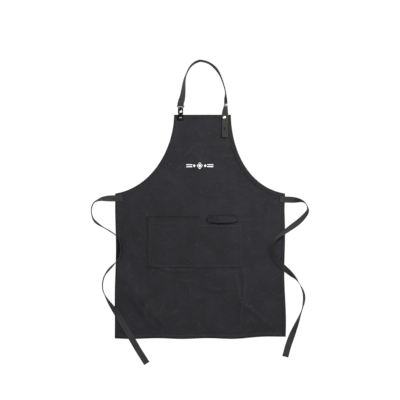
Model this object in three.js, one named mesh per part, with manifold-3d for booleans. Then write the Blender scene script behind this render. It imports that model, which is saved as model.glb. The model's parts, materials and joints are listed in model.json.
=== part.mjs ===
// A waxed-canvas bib apron, lying flat with its front up.
// Millimetres. +Z points out of the front, +Y runs from the hem to the bib, and the origin is
// the centre of the footprint, on the back. The neck strap is webbing: a swivel snap hook joins
// it to a leather tab at one end, and a leather strap on a brass stud adjusts it at the other.
import * as THREE from "three";
import { mergeVertices } from "three/addons/utils/BufferGeometryUtils.js";
import Module from "manifold-3d";

const wasm = await Module();
wasm.setup();

// ---- driving dimensions ----
const GAP = 0.3; // between pieces that rest on each other
const APRON_LENGTH = 897; // bib top to hem
const SKIRT_WIDTH = 680;
const BIB_WIDTH = 228;
const BIB_SHIFT = 9.5; // the bib lies a little to one side
const ARMHOLE_DROP = 315; // bib top to waist corner
const ARMHOLE_BOW = 0.37; // how straight the armhole runs down from the bib, as a share of its drop
const ARMHOLE_TURN = 0.715; // and how far it runs out to the waist, as a share of its width
const ARMHOLE_LIP = 27; // height of its curve above the waist corner
const CLOTH = 1.2; // canvas thickness
const HEM_THICK = 2; // canvas folded over
const HEM_WIDTH = 14;
const STRAP_RISE = 215; // top of the neck loop above the bib
const STRAP_WIDTH = 25;
const WEBBING = 1.6; // neck webbing thickness
const NECK_SEAT = 1.3; // height of the webbing's end under the leather, as in its route
const TAPE = 1; // tie tape thickness
const POCKET_LEFT = -212;
const POCKET_RIGHT = 168;
const POCKET_DIVIDER = -9;
const POCKET_BELOW_BIB = 410; // bib top to the mouth of the larger compartment
const POCKET_DEPTH = 203;
const SMALL_MOUTH_DROP = 31; // the smaller compartment's mouth is lower by this
const POCKET_FULLNESS = 5.6; // clear height inside the pocket
const SEAM_WIDTH = 8;
const LOOP_LEFT = 28;
const LOOP_WIDTH = 121;
const LOOP_BAND = 29;
const LOOP_BELOW_BIB = 404;
const LOOP_FULLNESS = 5.4; // clear height under the towel loop
const LEATHER = 2.6; // adjusting strap thickness
const TAB_LEATHER = 1.4;
const TAB_WIDTH = 22;
const TAB_NECK = 8.4; // where the tab passes through the hook
const TAB_REACH = 22; // down the bib from its top edge
const HOOK_X = -78;
const ADJUSTER_X = 99.5;
const ADJUSTER_LENGTH = 91; // from the bib's top edge to the tail
const TAIL_CORNER = 1.5;
const ADJUSTER_UPPER = 38; // from the fold to the tip that carries the webbing
const TIP_WIDTH = 14; // the leather narrows towards its tip
const TIP_ASIDE = 3; // and leans a little to the right
const STUD_BELOW_BIB = 11.5;
const HOLE_PITCH = 46;
const HOLE_COUNT = 2;
const SLIT = [1.2, 9]; // width of a keyhole's slit, and its reach from the hole's centre
const STUD_ASIDE = 3; // the stud sits this far off the strap's centre line
const STUD_HEAD_R = 6.8;
const STUD_NECK_R = 2.5;
const STUD_BASE = 0.6;
const STUD_HEAD_HEIGHT = 5.4;
const SCREW_R = 1.6;
const BACK_PLATE_R = 5;
const BACK_PLATE = 0.8;
const RIVET_R = 5;
const RIVET_SHANK_R = 1.6;
const RIVET_HEAD = 1.6;
const COPPER_R = 6.4;
const FOLD_AHEAD = 4.2; // the neck strap's fold line beyond the bib's top edge
const FOLD_HALF_GAP = 3.6; // each leather piece stops this far from the fold line
const CLAW_BAR = 3.6; // thickness of the hook's bar and plate
const CLAW_ARM = 6; // width of its two sides
const CLAW_HALF_WIDTH = 10.8;
const CLAW_HEIGHT = 19.5; // bar's centre to the top of the crown
const CROWN = 6.5;
const BAR_PLAY = 1.2; // between the hook's bar and the fold of the tab
const HUB_R = 5;
const HUB_HEIGHT = 1.8;
const POST_R = 2;
const POST_HEAD_R = 2.8;
const POST_HEAD = 1.6;
const EYE_HALF_WIDTH = 15.5;
const EYE_SIDE = 2.6;
const EYE_OPENING = 4.5; // between the eye's two bars
const EYE_ABOVE = 23.4; // bar's centre to the eye's lower edge
const GATE_THICK = 1.4;
const GATE_FOOT = 4.8; // bar's centre to the gate's free end
const GATE_PIVOT = 12.2;
const GATE_HALF = 2.2;
const GATE_PIN_R = 0.7;
const SPRING_THICK = 0.5;
const BARTACK = [2, 22, 0.6]; // width, length and height
const HOOK_CORNER = 3.5;
const HOOK_EDGE = 0.7; // bevel of the hook's plate
const FOLD_TAIL = 15; // from the eye's upper bar to where the webbing's fold joins the strap
const POCKET_SLOPE = 14; // width of the slope from a seam to the pocket's full height
const TAB_SHOULDER = [2.5, 0.4]; // the tab narrows from below the bib's edge to just past it

// ---- worked out from them ----
const BIB_TOP = (APRON_LENGTH - STRAP_RISE) / 2;
const HEM = BIB_TOP - APRON_LENGTH;
const WAIST = BIB_TOP - ARMHOLE_DROP;
const FOLD_Y = BIB_TOP + FOLD_AHEAD;
const TAB_BASE = HEM_THICK + GAP;
const BAR_R = CLAW_BAR / 2;
const TAB_INNER_R = BAR_R + BAR_PLAY;
const FOLD_Z = TAB_BASE + TAB_LEATHER + TAB_INNER_R;
const LEATHER_BASE = Math.max(HEM_THICK + GAP + STUD_BASE + GAP, NECK_SEAT + WEBBING + GAP);
const LEATHER_TOP = LEATHER_BASE + LEATHER;
const STUD_Y = BIB_TOP - STUD_BELOW_BIB;
const TAB_RIVET_Y = BIB_TOP - TAB_REACH / 2 - 1;
const TAB_STACK_TOP = TAB_BASE + 2 * TAB_LEATHER + GAP;
const COPPER_Y = FOLD_Y + FOLD_HALF_GAP + ADJUSTER_UPPER - 8;
const COPPER_X = ADJUSTER_X + TIP_ASIDE;
const STUD_X = ADJUSTER_X - STUD_ASIDE;
const ARM_X = CLAW_HALF_WIDTH - CLAW_ARM / 2;
const EYE_TOP_BAR = EYE_ABOVE + CLAW_BAR + EYE_OPENING + BAR_R;
const SEGMENTS = 20;

// ---- the routes of the bands ----
// x, y, height of the lower edge, roll from flat in degrees, and the share of the width where
// the band is gathered.
// The neck webbing is given from the bib's top edge, and starts at the hook.
const NECK_ROUTE = [
  [-75.4, 53, 3.4, 4],
  [-72.2, 63, 2, 20],
  [-69, 80, 0.5, 36],
  [-66.6, 99, 0, 48],
  [-64.6, 119, 0, 60],
  [-61.6, 139, 0, 72],
  [-55.2, 160, 0, 82],
  [-43, 185, 0, 79],
  [-27.6, 202, 0, 75],
  [-9, 212, 0, 75],
  [4, 214, 0, 76],
  [25, 209.4, 0, 77],
  [43, 200.6, 0, 75],
  [61, 185, 0, 71],
  [73, 169, 0, 75],
  [82.4, 151, 0, 80],
  [93.4, 121, 0, 83],
  [100.6, 93, 0, 84],
  [102, 76, 0, 76],
  [102.2, 64, 0.1, 62, 0.86],
  [102.4, 57, 0.5, 44, 0.62],
  [102.5, 51, 1.1, 8, 0.53],
  [102.5, 48, 1.3, 0, 0.53],
  [102.5, 37, 1.3, 0, 0.53],
  [102.5, 26, 1.3, 0, 0.6],
];
const LEFT_TIE_ROUTE = [
  [-310, 8, 2.3, 0],
  [-337, 6.8, 2.3, 0],
  [-354, 6.4, 2, 6],
  [-370, 6, 0.4, 22],
  [-392, 4, 0, 50],
  [-410, -2, 0, 70],
  [-423, -10, 0, 76],
  [-431, -24, 0, 74],
  [-434, -44, 0, 76],
  [-430, -66, 0, 74],
  [-422, -82, 0, 66],
  [-408, -95, 0, 66],
  [-384, -110, 0.6, 78],
  [-360, -124, 2.3, 76],
  [-338, -139, 2.3, 78],
  [-324, -158, 2.3, 86],
  [-317, -180, 2.3, 88],
  [-316.5, -204, 2.3, 88],
  [-323, -228, 2.3, 88],
  [-336, -248, 2.3, 84],
  [-352, -265, 2.3, 70],
  [-366, -280, 1.2, 70],
  [-378, -297, 0, 76],
  [-386, -316, 0, 75],
  [-389.6, -340, 0, 75],
  [-387, -362, 0, 75],
  [-380.6, -378, 0, 76],
  [-372, -394, 0.6, 66],
  [-362, -410, 2, 54],
  [-351, -426, 2.3, 40],
  [-332, -454, 2.3, 16],
  [-316, -482, 2.3, 2],
  [-296, -516, 2.3, 0],
  [-272, -556, 2.3, 0],
  [-249, -596, 1.6, 0],
  [-229, -628, 0.4, 0],
  [-213, -654, 0, 0],
];
const RIGHT_TIE_ROUTE = [
  [318, 4, 2.3, 0],
  [340, 2, 2.3, 0],
  [364, 0.8, 2, 10],
  [388, -1, 0.6, 40],
  [405, -4, 0, 66],
  [418, -11, 0, 84],
  [426, -22, 0, 88],
  [430, -38, 0, 76],
  [425, -52, 0, 58],
  [415, -65, 0, 48],
  [399, -82, 0, 36],
  [379, -98, 0.4, 32],
  [355, -115, 2.3, 40],
  [335, -130, 2.3, 54],
  [312, -146, 2.3, 68],
  [294, -164, 2.3, 70],
  [285, -186, 2.3, 56],
  [288, -210, 2.3, 48],
  [300, -234, 2.3, 40],
  [320, -257, 2.3, 30],
  [343, -278, 2.3, 28],
  [363, -296, 2.2, 44],
  [381, -313, 0.6, 70],
  [395, -332, 0, 88],
  [406, -352, 0, 80],
  [413, -372, 0, 74],
  [415, -392, 0, 72],
  [412.6, -412, 0, 78],
  [407, -436, 0, 88],
  [398.6, -460, 0, 80],
  [388, -488, 0, 62],
  [375, -520, 0, 40],
  [363, -552, 0, 14],
  [351, -588, 0, 4],
  [340.6, -627, 0, 0],
];

// ---- materials ----
const material = (color, roughness, metalness) =>
  new THREE.MeshStandardMaterial({ color, roughness, metalness });
const CANVAS = material(0x35343a, 0.8, 0);
const STRAPPING = material(0x44443f, 0.85, 0);
const TIE_TAPE = material(0x403f44, 0.85, 0);
const HIDE = material(0x2c2729, 0.5, 0);
const NICKEL = material(0x8f9094, 0.28, 1);
const DARK_NICKEL = material(0x3b3a3d, 0.35, 1);
const BRASS = material(0xb08a3c, 0.3, 1);
const COPPER = material(0xb06a45, 0.35, 1);
const THREAD = material(0x8a8984, 0.8, 0);

// ---- solids ----
// A closed geometry as a solid, and back again.
function solid(geometry) {
  const bare = geometry.clone();
  bare.deleteAttribute("normal");
  bare.deleteAttribute("uv");
  const merged = mergeVertices(bare, 1e-4);
  return new wasm.Manifold(
    new wasm.Mesh({
      numProp: 3,
      vertProperties: new Float32Array(merged.attributes.position.array),
      triVerts: new Uint32Array(merged.index.array),
    }),
  );
}

function geometryOf(body) {
  const mesh = body.getMesh();
  const geometry = new THREE.BufferGeometry();
  geometry.setAttribute("position", new THREE.BufferAttribute(mesh.vertProperties, 3));
  geometry.setIndex(new THREE.BufferAttribute(mesh.triVerts, 1));
  geometry.computeVertexNormals();
  return geometry;
}

const cut = (geometry, ...tools) =>
  geometryOf(tools.reduce((body, tool) => body.subtract(solid(tool)), solid(geometry)));
const join = (geometry, ...more) =>
  geometryOf(more.reduce((body, piece) => body.add(solid(piece)), solid(geometry)));
const common = (a, b) => geometryOf(solid(a).intersect(solid(b)));

// An outline extruded upwards, its edges bevelled inside the outline's own size.
function prism(shape, low, high, bevel = 0) {
  return new THREE.ExtrudeGeometry(shape, {
    depth: high - low - 2 * bevel,
    curveSegments: 8,
    bevelEnabled: bevel > 0,
    bevelThickness: bevel,
    bevelSize: bevel,
    bevelOffset: -bevel,
    bevelSegments: 1,
  }).translate(0, 0, low + bevel);
}

// An outline given in two axes of the model, extruded along the third.
function profile(shape, across, up, low, high) {
  const along = new THREE.Vector3().crossVectors(across, up);
  const turn = new THREE.Matrix4().makeBasis(across, up, along);
  return prism(shape, low, high).applyMatrix4(turn);
}

const X = new THREE.Vector3(1, 0, 0);
const Y = new THREE.Vector3(0, 1, 0);
const Z = new THREE.Vector3(0, 0, 1);

// A round piece about a vertical axis: radius and height pairs, bottom first.
function turned(points, x = 0, y = 0, segments = SEGMENTS) {
  const outline = points.map(([r, z]) => new THREE.Vector2(r, z));
  return new THREE.LatheGeometry(outline, segments).rotateX(Math.PI / 2).translate(x, y, 0);
}

const rod = (radius, low, high, x = 0, y = 0) =>
  turned([[0, low], [radius, low], [radius, high], [0, high]], x, y);

const box = (x0, x1, y0, y1, z0, z1) =>
  new THREE.BoxGeometry(x1 - x0, y1 - y0, z1 - z0)
    .translate((x0 + x1) / 2, (y0 + y1) / 2, (z0 + z1) / 2);

function polygon(points) {
  return new THREE.Shape(points.map(([x, y]) => new THREE.Vector2(x, y)));
}

function roundedRect(x0, x1, y0, y1, r) {
  const shape = new THREE.Shape();
  shape.moveTo(x0 + r, y0);
  shape.lineTo(x1 - r, y0);
  shape.absarc(x1 - r, y0 + r, r, -Math.PI / 2, 0);
  shape.lineTo(x1, y1 - r);
  shape.absarc(x1 - r, y1 - r, r, 0, Math.PI / 2);
  shape.lineTo(x0 + r, y1);
  shape.absarc(x0 + r, y1 - r, r, Math.PI / 2, Math.PI);
  shape.lineTo(x0, y0 + r);
  shape.absarc(x0 + r, y0 + r, r, Math.PI, Math.PI * 1.5);
  return shape;
}

// The outline of a strip of even thickness about an open centre line.
function strip(centres, thickness) {
  const sides = [1, -1].map((side) =>
    centres.map(([x, y], i) => {
      const before = centres[Math.max(i - 1, 0)];
      const after = centres[Math.min(i + 1, centres.length - 1)];
      const run = Math.hypot(after[0] - before[0], after[1] - before[1]);
      const out = (side * thickness) / 2 / run;
      return [x - (after[1] - before[1]) * out, y + (after[0] - before[0]) * out];
    }),
  );
  return polygon([...sides[0], ...sides[1].reverse()]);
}

// A flat band swept along its route, turned about its own length by the roll.
function band(route, width, thickness, stepsPerPoint, lift = 0) {
  const plan = new THREE.CatmullRomCurve3(
    route.map(([x, y]) => new THREE.Vector3(x, y, 0)), false, "centripetal");
  const stance = new THREE.CatmullRomCurve3(
    route.map(([, , base, roll, share = 1]) => new THREE.Vector3(base, roll, share)),
    false, "centripetal");
  const t = thickness / 2;
  const edge = t / 2;
  const section = (w) => [
    [w, -edge], [w, edge], [w - edge, t], [edge - w, t],
    [-w, edge], [-w, -edge], [edge - w, -t], [w - edge, -t],
  ];
  const steps = (route.length - 1) * stepsPerPoint;
  const corners = [];
  for (let i = 0; i <= steps; i++) {
    const centre = plan.getPoint(i / steps);
    const heading = plan.getTangent(i / steps).normalize();
    const { x: base, y: degrees, z: share } = stance.getPoint(i / steps);
    const w = (width / 2) * share;
    const roll = THREE.MathUtils.degToRad(Math.max(degrees, 0));
    const across = new THREE.Vector3(-heading.y, heading.x, 0)
      .multiplyScalar(Math.cos(roll))
      .addScaledVector(Z, Math.sin(roll));
    const out = new THREE.Vector3().crossVectors(heading, across);
    centre.z = Math.max(base, 0) + lift + w * Math.sin(roll) + t * Math.cos(roll);
    for (const [a, b] of section(w))
      corners.push(centre.clone().addScaledVector(across, a).addScaledVector(out, b));
  }
  const n = section(1).length;
  const faces = [];
  for (let i = 0; i < steps; i++)
    for (let k = 0; k < n; k++) {
      const a = i * n + k;
      const b = i * n + ((k + 1) % n);
      faces.push(a, b, b + n, a, b + n, a + n);
    }
  for (let k = 1; k < n - 1; k++) {
    faces.push(0, k + 1, k);
    faces.push(steps * n, steps * n + k, steps * n + k + 1);
  }
  const geometry = new THREE.BufferGeometry().setFromPoints(corners);
  geometry.setIndex(faces);
  geometry.computeVertexNormals();
  return geometry;
}

// ---- canvas ----
// The apron's outline, or the same outline brought inwards by an even margin.
function apronOutline(margin) {
  const side = SKIRT_WIDTH / 2 - margin;
  const top = BIB_TOP - margin;
  const bib = BIB_WIDTH / 2 - margin;
  const waist = WAIST - margin;
  const bow = ARMHOLE_DROP * ARMHOLE_BOW;
  const turn = (side - bib) * ARMHOLE_TURN;
  const shape = new THREE.Shape();
  shape.moveTo(-side, HEM + margin);
  shape.lineTo(side, HEM + margin);
  shape.lineTo(side, waist);
  shape.bezierCurveTo(
    side - turn, waist + ARMHOLE_LIP, BIB_SHIFT + bib, top - bow, BIB_SHIFT + bib, top);
  shape.lineTo(BIB_SHIFT - bib, top);
  shape.bezierCurveTo(
    BIB_SHIFT - bib, top - bow, turn - side, waist + ARMHOLE_LIP, -side, waist);
  return shape;
}

function canvasBody() {
  const hollow = prism(apronOutline(HEM_WIDTH), CLOTH, HEM_THICK + 1);
  const recess = (x, y) => rod(BACK_PLATE_R + GAP, -1, BACK_PLATE + GAP, x, y);
  return cut(
    prism(apronOutline(0), 0, HEM_THICK),
    hollow,
    recess(STUD_X, STUD_Y),
    rod(SCREW_R + GAP, -1, HEM_THICK + 1, STUD_X, STUD_Y),
    recess(HOOK_X, TAB_RIVET_Y),
    rod(RIVET_SHANK_R + GAP, -1, HEM_THICK + 1, HOOK_X, TAB_RIVET_Y),
  );
}

// The patch pocket: sewn down at its sides, its divider and its bottom, and full between them.
function pocketPanel() {
  const low = CLOTH + GAP + CLOTH / 2;
  const high = CLOTH + POCKET_FULLNESS + CLOTH / 2;
  const compartment = (left, right) => [
    [left + SEAM_WIDTH, low],
    [left + SEAM_WIDTH + POCKET_SLOPE, high],
    [right - SEAM_WIDTH - POCKET_SLOPE, high],
    [right - SEAM_WIDTH, low],
  ];
  const half = SEAM_WIDTH / 2;
  const centres = [
    [POCKET_LEFT, low],
    ...compartment(POCKET_LEFT, POCKET_DIVIDER + half),
    ...compartment(POCKET_DIVIDER - half, POCKET_RIGHT),
    [POCKET_RIGHT, low],
  ];
  const mouth = BIB_TOP - POCKET_BELOW_BIB;
  const bottom = mouth - POCKET_DEPTH;
  const cloth = profile(strip(centres, CLOTH), X, Z, -mouth, -bottom);
  const seam = box(
    POCKET_LEFT + 1, POCKET_RIGHT - 1, bottom, bottom + SEAM_WIDTH,
    CLOTH + GAP, high + CLOTH / 4);
  const lowered = box(
    POCKET_DIVIDER + half, POCKET_RIGHT + 1, mouth - SMALL_MOUTH_DROP, mouth + 1, 0, high + 9);
  return cut(join(cloth, seam), lowered);
}

// The towel loop: a band sewn down at both ends and clear of the canvas between them.
function towelLoop() {
  const low = CLOTH + GAP + CLOTH / 2;
  const high = CLOTH + LOOP_FULLNESS + CLOTH / 2;
  const right = LOOP_LEFT + LOOP_WIDTH;
  const centres = [
    [LOOP_LEFT, low],
    [LOOP_LEFT + SEAM_WIDTH, low],
    [LOOP_LEFT + SEAM_WIDTH * 2.2, high],
    [right - SEAM_WIDTH * 2.2, high],
    [right - SEAM_WIDTH, low],
    [right, low],
  ];
  const top = BIB_TOP - LOOP_BELOW_BIB;
  return profile(strip(centres, CLOTH), X, Z, -top, LOOP_BAND - top);
}

function bartack(x, y) {
  const low = HEM_THICK + GAP + TAPE + GAP;
  return box(
    x - BARTACK[0] / 2, x + BARTACK[0] / 2, y - BARTACK[1] / 2, y + BARTACK[1] / 2,
    low, low + BARTACK[2]);
}

// ---- leather ----
// The tab: one strip folded round the hook's bar, both layers riveted to the bib.
function hookTab() {
  const half = TAB_LEATHER / 2;
  const reach = BIB_TOP - TAB_REACH;
  const lower = TAB_BASE + half;
  const upper = lower + TAB_LEATHER + GAP;
  const r = TAB_INNER_R + half;
  const turn = [-90, -54, -18, 18, 54, 90].map((degrees) => {
    const a = THREE.MathUtils.degToRad(degrees);
    return [FOLD_Y + r * Math.cos(a), FOLD_Z + r * Math.sin(a)];
  });
  const centres = [
    [reach, lower],
    ...turn,
    [FOLD_Y - TAB_INNER_R, FOLD_Z + r * 0.6],
    [TAB_RIVET_Y + RIVET_R + 1, upper],
    [reach, upper],
  ];
  const folded = profile(
    strip(centres, TAB_LEATHER), Y, Z, HOOK_X - TAB_WIDTH / 2, HOOK_X + TAB_WIDTH / 2);
  const plan = prism(
    polygon([
      [HOOK_X - TAB_WIDTH / 2, reach - 1],
      [HOOK_X + TAB_WIDTH / 2, reach - 1],
      [HOOK_X + TAB_WIDTH / 2, BIB_TOP - TAB_SHOULDER[0]],
      [HOOK_X + TAB_NECK / 2, BIB_TOP + TAB_SHOULDER[1]],
      [HOOK_X + TAB_NECK / 2, FOLD_Y + 9],
      [HOOK_X - TAB_NECK / 2, FOLD_Y + 9],
      [HOOK_X - TAB_NECK / 2, BIB_TOP + TAB_SHOULDER[1]],
      [HOOK_X - TAB_WIDTH / 2, BIB_TOP - TAB_SHOULDER[0]],
    ]),
    0, FOLD_Z * 2);
  const hole = rod(RIVET_SHANK_R + GAP, 0, FOLD_Z * 2, HOOK_X, TAB_RIVET_Y);
  return cut(common(folded, plan), hole);
}

function keyhole(y) {
  const round = rod(STUD_NECK_R + GAP, 0, FOLD_Z * 2, STUD_X, y);
  const slit = box(STUD_X - SLIT[0] / 2, STUD_X + SLIT[0] / 2, y, y + SLIT[1], 0, FOLD_Z * 2);
  return [round, slit];
}

// The part of the adjusting strap that lies on the bib, with its keyholes.
function leatherLower() {
  const tail = BIB_TOP - ADJUSTER_LENGTH;
  const end = FOLD_Y - FOLD_HALF_GAP;
  const w = STRAP_WIDTH / 2;
  const shape = new THREE.Shape();
  shape.moveTo(ADJUSTER_X - w, end);
  shape.lineTo(ADJUSTER_X - w, tail + TAIL_CORNER);
  shape.absarc(
    ADJUSTER_X - w + TAIL_CORNER, tail + TAIL_CORNER, TAIL_CORNER, Math.PI, Math.PI * 1.5);
  shape.absarc(
    ADJUSTER_X + w - TAIL_CORNER, tail + TAIL_CORNER, TAIL_CORNER, Math.PI * 1.5, Math.PI * 2);
  shape.lineTo(ADJUSTER_X + w, end);
  const holes = Array.from({ length: HOLE_COUNT }, (_, i) => keyhole(STUD_Y - i * HOLE_PITCH));
  return cut(prism(shape, LEATHER_BASE, LEATHER_TOP), ...holes.flat());
}

// The part beyond the fold line, riveted over the end of the webbing.
function leatherUpper() {
  const start = FOLD_Y + FOLD_HALF_GAP;
  const w = STRAP_WIDTH / 2;
  const r = TIP_WIDTH / 2;
  const centre = ADJUSTER_X + TIP_ASIDE;
  const shape = new THREE.Shape();
  shape.moveTo(ADJUSTER_X - w, start);
  shape.lineTo(ADJUSTER_X + w, start);
  shape.absarc(centre, start + ADJUSTER_UPPER - r, r, 0, Math.PI);
  return cut(
    prism(shape, LEATHER_BASE, LEATHER_TOP),
    rod(RIVET_SHANK_R + GAP, 0, FOLD_Z * 2, COPPER_X, COPPER_Y));
}

// ---- neck webbing ----
// The band, and its end folded round the upper bar of the hook's eye.
function neckWebbing() {
  const bar = FOLD_Y + EYE_TOP_BAR;
  const inner = BAR_R + 2 * GAP;
  const outer = inner + WEBBING;
  const tip = bar + FOLD_TAIL;
  const wrap = (radius, from, to) =>
    Array.from({ length: 7 }, (_, i) => {
      const a = THREE.MathUtils.degToRad(from + ((to - from) * i) / 6);
      return [bar + radius * Math.cos(a), FOLD_Z + radius * Math.sin(a)];
    });
  const shape = polygon([
    ...wrap(outer, 80, 280), [tip, FOLD_Z - 3], [tip, FOLD_Z + 0.6]]);
  const eye = polygon([...wrap(inner, 80, 280), [tip - 6, FOLD_Z - 1.2]]);
  shape.holes.push(new THREE.Path(eye.getPoints()));
  const fold = profile(
    shape, Y, Z, HOOK_X - STRAP_WIDTH / 2, HOOK_X + STRAP_WIDTH / 2);
  const route = NECK_ROUTE.map(([x, y, ...stance]) => [x, y + BIB_TOP, ...stance]);
  const strap = band(route, STRAP_WIDTH, WEBBING, 3);
  return cut(
    join(strap, fold),
    rod(RIVET_SHANK_R + GAP, -1, FOLD_Z * 2, COPPER_X, COPPER_Y));
}

// ---- snap hook, about the centre of its bar ----
function swivelEye() {
  const low = EYE_ABOVE;
  const high = EYE_TOP_BAR + BAR_R;
  const shape = roundedRect(-EYE_HALF_WIDTH, EYE_HALF_WIDTH, low, high, 4);
  const inside = EYE_HALF_WIDTH - EYE_SIDE;
  shape.holes.push(roundedRect(-inside, inside, low + CLAW_BAR, high - CLAW_BAR, 1));
  const ring = prism(shape, -BAR_R, BAR_R, BAR_R / 3);
  const foot = CLAW_HEIGHT - CROWN - GAP;
  const post = turned([
    [0, foot - POST_HEAD], [POST_HEAD_R - 0.5, foot - POST_HEAD], [POST_HEAD_R, foot - 0.5],
    [POST_HEAD_R, foot], [POST_R, foot], [POST_R, low + 1], [0, low + 1],
  ]).rotateX(-Math.PI / 2);
  const collar = turned([
    [0, low - 0.6], [POST_R + 1, low - 0.6], [POST_R + 1.6, low + 1.5], [0, low + 1.5],
  ]).rotateX(-Math.PI / 2);
  return join(ring, post, collar);
}

function snapClaw() {
  const shape = roundedRect(-CLAW_HALF_WIDTH, CLAW_HALF_WIDTH, -BAR_R, CLAW_HEIGHT, HOOK_CORNER);
  const inside = CLAW_HALF_WIDTH - CLAW_ARM;
  shape.holes.push(roundedRect(-inside, inside, BAR_R, CLAW_HEIGHT - CROWN, 1));
  const plate = prism(shape, -BAR_R, BAR_R, HOOK_EDGE);
  const hub = turned([
    [0, CLAW_HEIGHT - CROWN + 0.1], [HUB_R, CLAW_HEIGHT - CROWN + 0.1],
    [HUB_R, CLAW_HEIGHT + HUB_HEIGHT], [0, CLAW_HEIGHT + HUB_HEIGHT],
  ]).rotateX(-Math.PI / 2);
  const bore = turned([
    [0, 0], [POST_R + GAP, 0], [POST_R + GAP, 40], [0, 40],
  ]).translate(0, 0, CLAW_HEIGHT - CROWN - 1).rotateX(-Math.PI / 2);
  const outside = CLAW_HALF_WIDTH + 1;
  const mouth = box(
    inside - 1, outside, GATE_FOOT - GAP, GATE_PIVOT - 1.9, -CLAW_BAR, CLAW_BAR);
  const slot = box(
    inside - 1, outside, GATE_FOOT - GAP, GATE_PIVOT + GATE_HALF + GAP,
    -GATE_THICK / 2 - GAP, GATE_THICK / 2 + GAP);
  const pinHole = rod(
    GATE_PIN_R + GAP, -CLAW_BAR, CLAW_BAR, ARM_X, GATE_PIVOT);
  return cut(join(plate, hub), bore, mouth, slot, pinHole);
}

function snapGate() {
  const shape = new THREE.Shape();
  shape.moveTo(ARM_X - GATE_HALF, GATE_FOOT);
  shape.lineTo(ARM_X + GATE_HALF, GATE_FOOT);
  shape.lineTo(ARM_X + GATE_HALF, GATE_PIVOT);
  shape.absarc(ARM_X, GATE_PIVOT, GATE_HALF, 0, Math.PI);
  return cut(
    prism(shape, -GATE_THICK / 2, GATE_THICK / 2),
    rod(GATE_PIN_R + GAP, -CLAW_BAR, CLAW_BAR, ARM_X, GATE_PIVOT));
}

// A leaf spring under the crown, its tip beside the gate's round end.
function gateSpring() {
  const under = CLAW_HEIGHT - CROWN - GAP - SPRING_THICK / 2;
  const centres = [
    [POST_HEAD_R + GAP, under],
    [POST_HEAD_R + 1.2, under + 0.1],
    [POST_HEAD_R + 2.2, under + 0.2],
  ];
  return prism(strip(centres, SPRING_THICK), -GATE_THICK / 2, GATE_THICK / 2);
}

// ---- rivets and the stud ----
// A domed head on a shank, its foot at the given height and its head at rest on the stack.
function rivet(x, y, foot, seat, headR) {
  return turned([
    [0, foot], [RIVET_SHANK_R, foot], [RIVET_SHANK_R, seat], [headR, seat],
    [headR, seat + RIVET_HEAD * 0.4], [headR * 0.7, seat + RIVET_HEAD * 0.85],
    [0, seat + RIVET_HEAD],
  ], x, y);
}

// A washer that closes the foot of a rivet.
function burr(x, y, low, high) {
  const hole = RIVET_SHANK_R + GAP;
  return turned([
    [hole, low], [BACK_PLATE_R - 0.5, low], [BACK_PLATE_R - 0.5, high], [hole, high], [hole, low],
  ], x, y);
}

function studBody() {
  const base = HEM_THICK + GAP;
  const head = LEATHER_TOP + GAP;
  const outside = turned([
    [0, base], [RIVET_R, base], [RIVET_R, base + STUD_BASE], [STUD_NECK_R, base + STUD_BASE],
    [STUD_NECK_R, head], [STUD_HEAD_R * 0.75, head + 0.4],
    [STUD_HEAD_R, head + STUD_HEAD_HEIGHT * 0.45],
    [STUD_HEAD_R * 0.86, head + STUD_HEAD_HEIGHT * 0.78],
    [STUD_HEAD_R * 0.5, head + STUD_HEAD_HEIGHT * 0.96], [0, head + STUD_HEAD_HEIGHT],
  ], STUD_X, STUD_Y);
  return cut(outside, rod(SCREW_R + GAP, 0, LEATHER_TOP, STUD_X, STUD_Y));
}

function studScrew() {
  return turned([
    [0, 0], [BACK_PLATE_R, 0], [BACK_PLATE_R, BACK_PLATE], [SCREW_R, BACK_PLATE],
    [SCREW_R, LEATHER_TOP - GAP], [0, LEATHER_TOP - GAP],
  ], STUD_X, STUD_Y);
}

// ---- assembly ----
const apron = new THREE.Group();
const hook = new THREE.Group();
hook.position.set(HOOK_X, FOLD_Y, FOLD_Z);
apron.add(hook);

function place(group, name, geometry, look) {
  const mesh = new THREE.Mesh(geometry, look);
  mesh.name = name;
  group.add(mesh);
}

place(apron, "canvas_body", canvasBody(), CANVAS);
place(apron, "pocket_panel", pocketPanel(), CANVAS);
place(apron, "towel_loop", towelLoop(), CANVAS);
place(apron, "left_tie", band(LEFT_TIE_ROUTE, STRAP_WIDTH, TAPE, 1), TIE_TAPE);
place(apron, "right_tie", band(RIGHT_TIE_ROUTE, STRAP_WIDTH, TAPE, 1), TIE_TAPE);
place(apron, "left_bartack", bartack(-311, 8), THREAD);
place(apron, "right_bartack", bartack(319.5, 4), THREAD);
place(apron, "hook_tab", hookTab(), HIDE);
place(apron, "tab_rivet", rivet(HOOK_X, TAB_RIVET_Y, 0, TAB_STACK_TOP + GAP, RIVET_R),
  DARK_NICKEL);
place(apron, "tab_burr", burr(HOOK_X, TAB_RIVET_Y, 0, BACK_PLATE), DARK_NICKEL);
place(apron, "adjuster_lower", leatherLower(), HIDE);
place(apron, "adjuster_upper", leatherUpper(), HIDE);
place(apron, "adjuster_stud", studBody(), BRASS);
place(apron, "stud_screw", studScrew(), BRASS);
place(apron, "neck_webbing", neckWebbing(), STRAPPING);
place(apron, "copper_rivet",
  rivet(COPPER_X, COPPER_Y, 0.2, LEATHER_TOP + GAP, COPPER_R), COPPER);
place(apron, "copper_burr", burr(COPPER_X, COPPER_Y, 0.2, 1), COPPER);
place(hook, "swivel_eye", swivelEye(), NICKEL);
place(hook, "snap_claw", snapClaw(), DARK_NICKEL);
place(hook, "snap_gate", snapGate(), DARK_NICKEL);
place(hook, "gate_pin",
  rod(GATE_PIN_R, -BAR_R, BAR_R, ARM_X, GATE_PIVOT), NICKEL);
place(hook, "gate_spring", gateSpring(), NICKEL);

export default apron;
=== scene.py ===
"""A waxed-canvas bib apron lying flat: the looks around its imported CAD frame.

Lengths are in metres, in the frame's own axes: +Z out of the apron's front, +Y towards the bib.
"""
import json
import math

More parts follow.
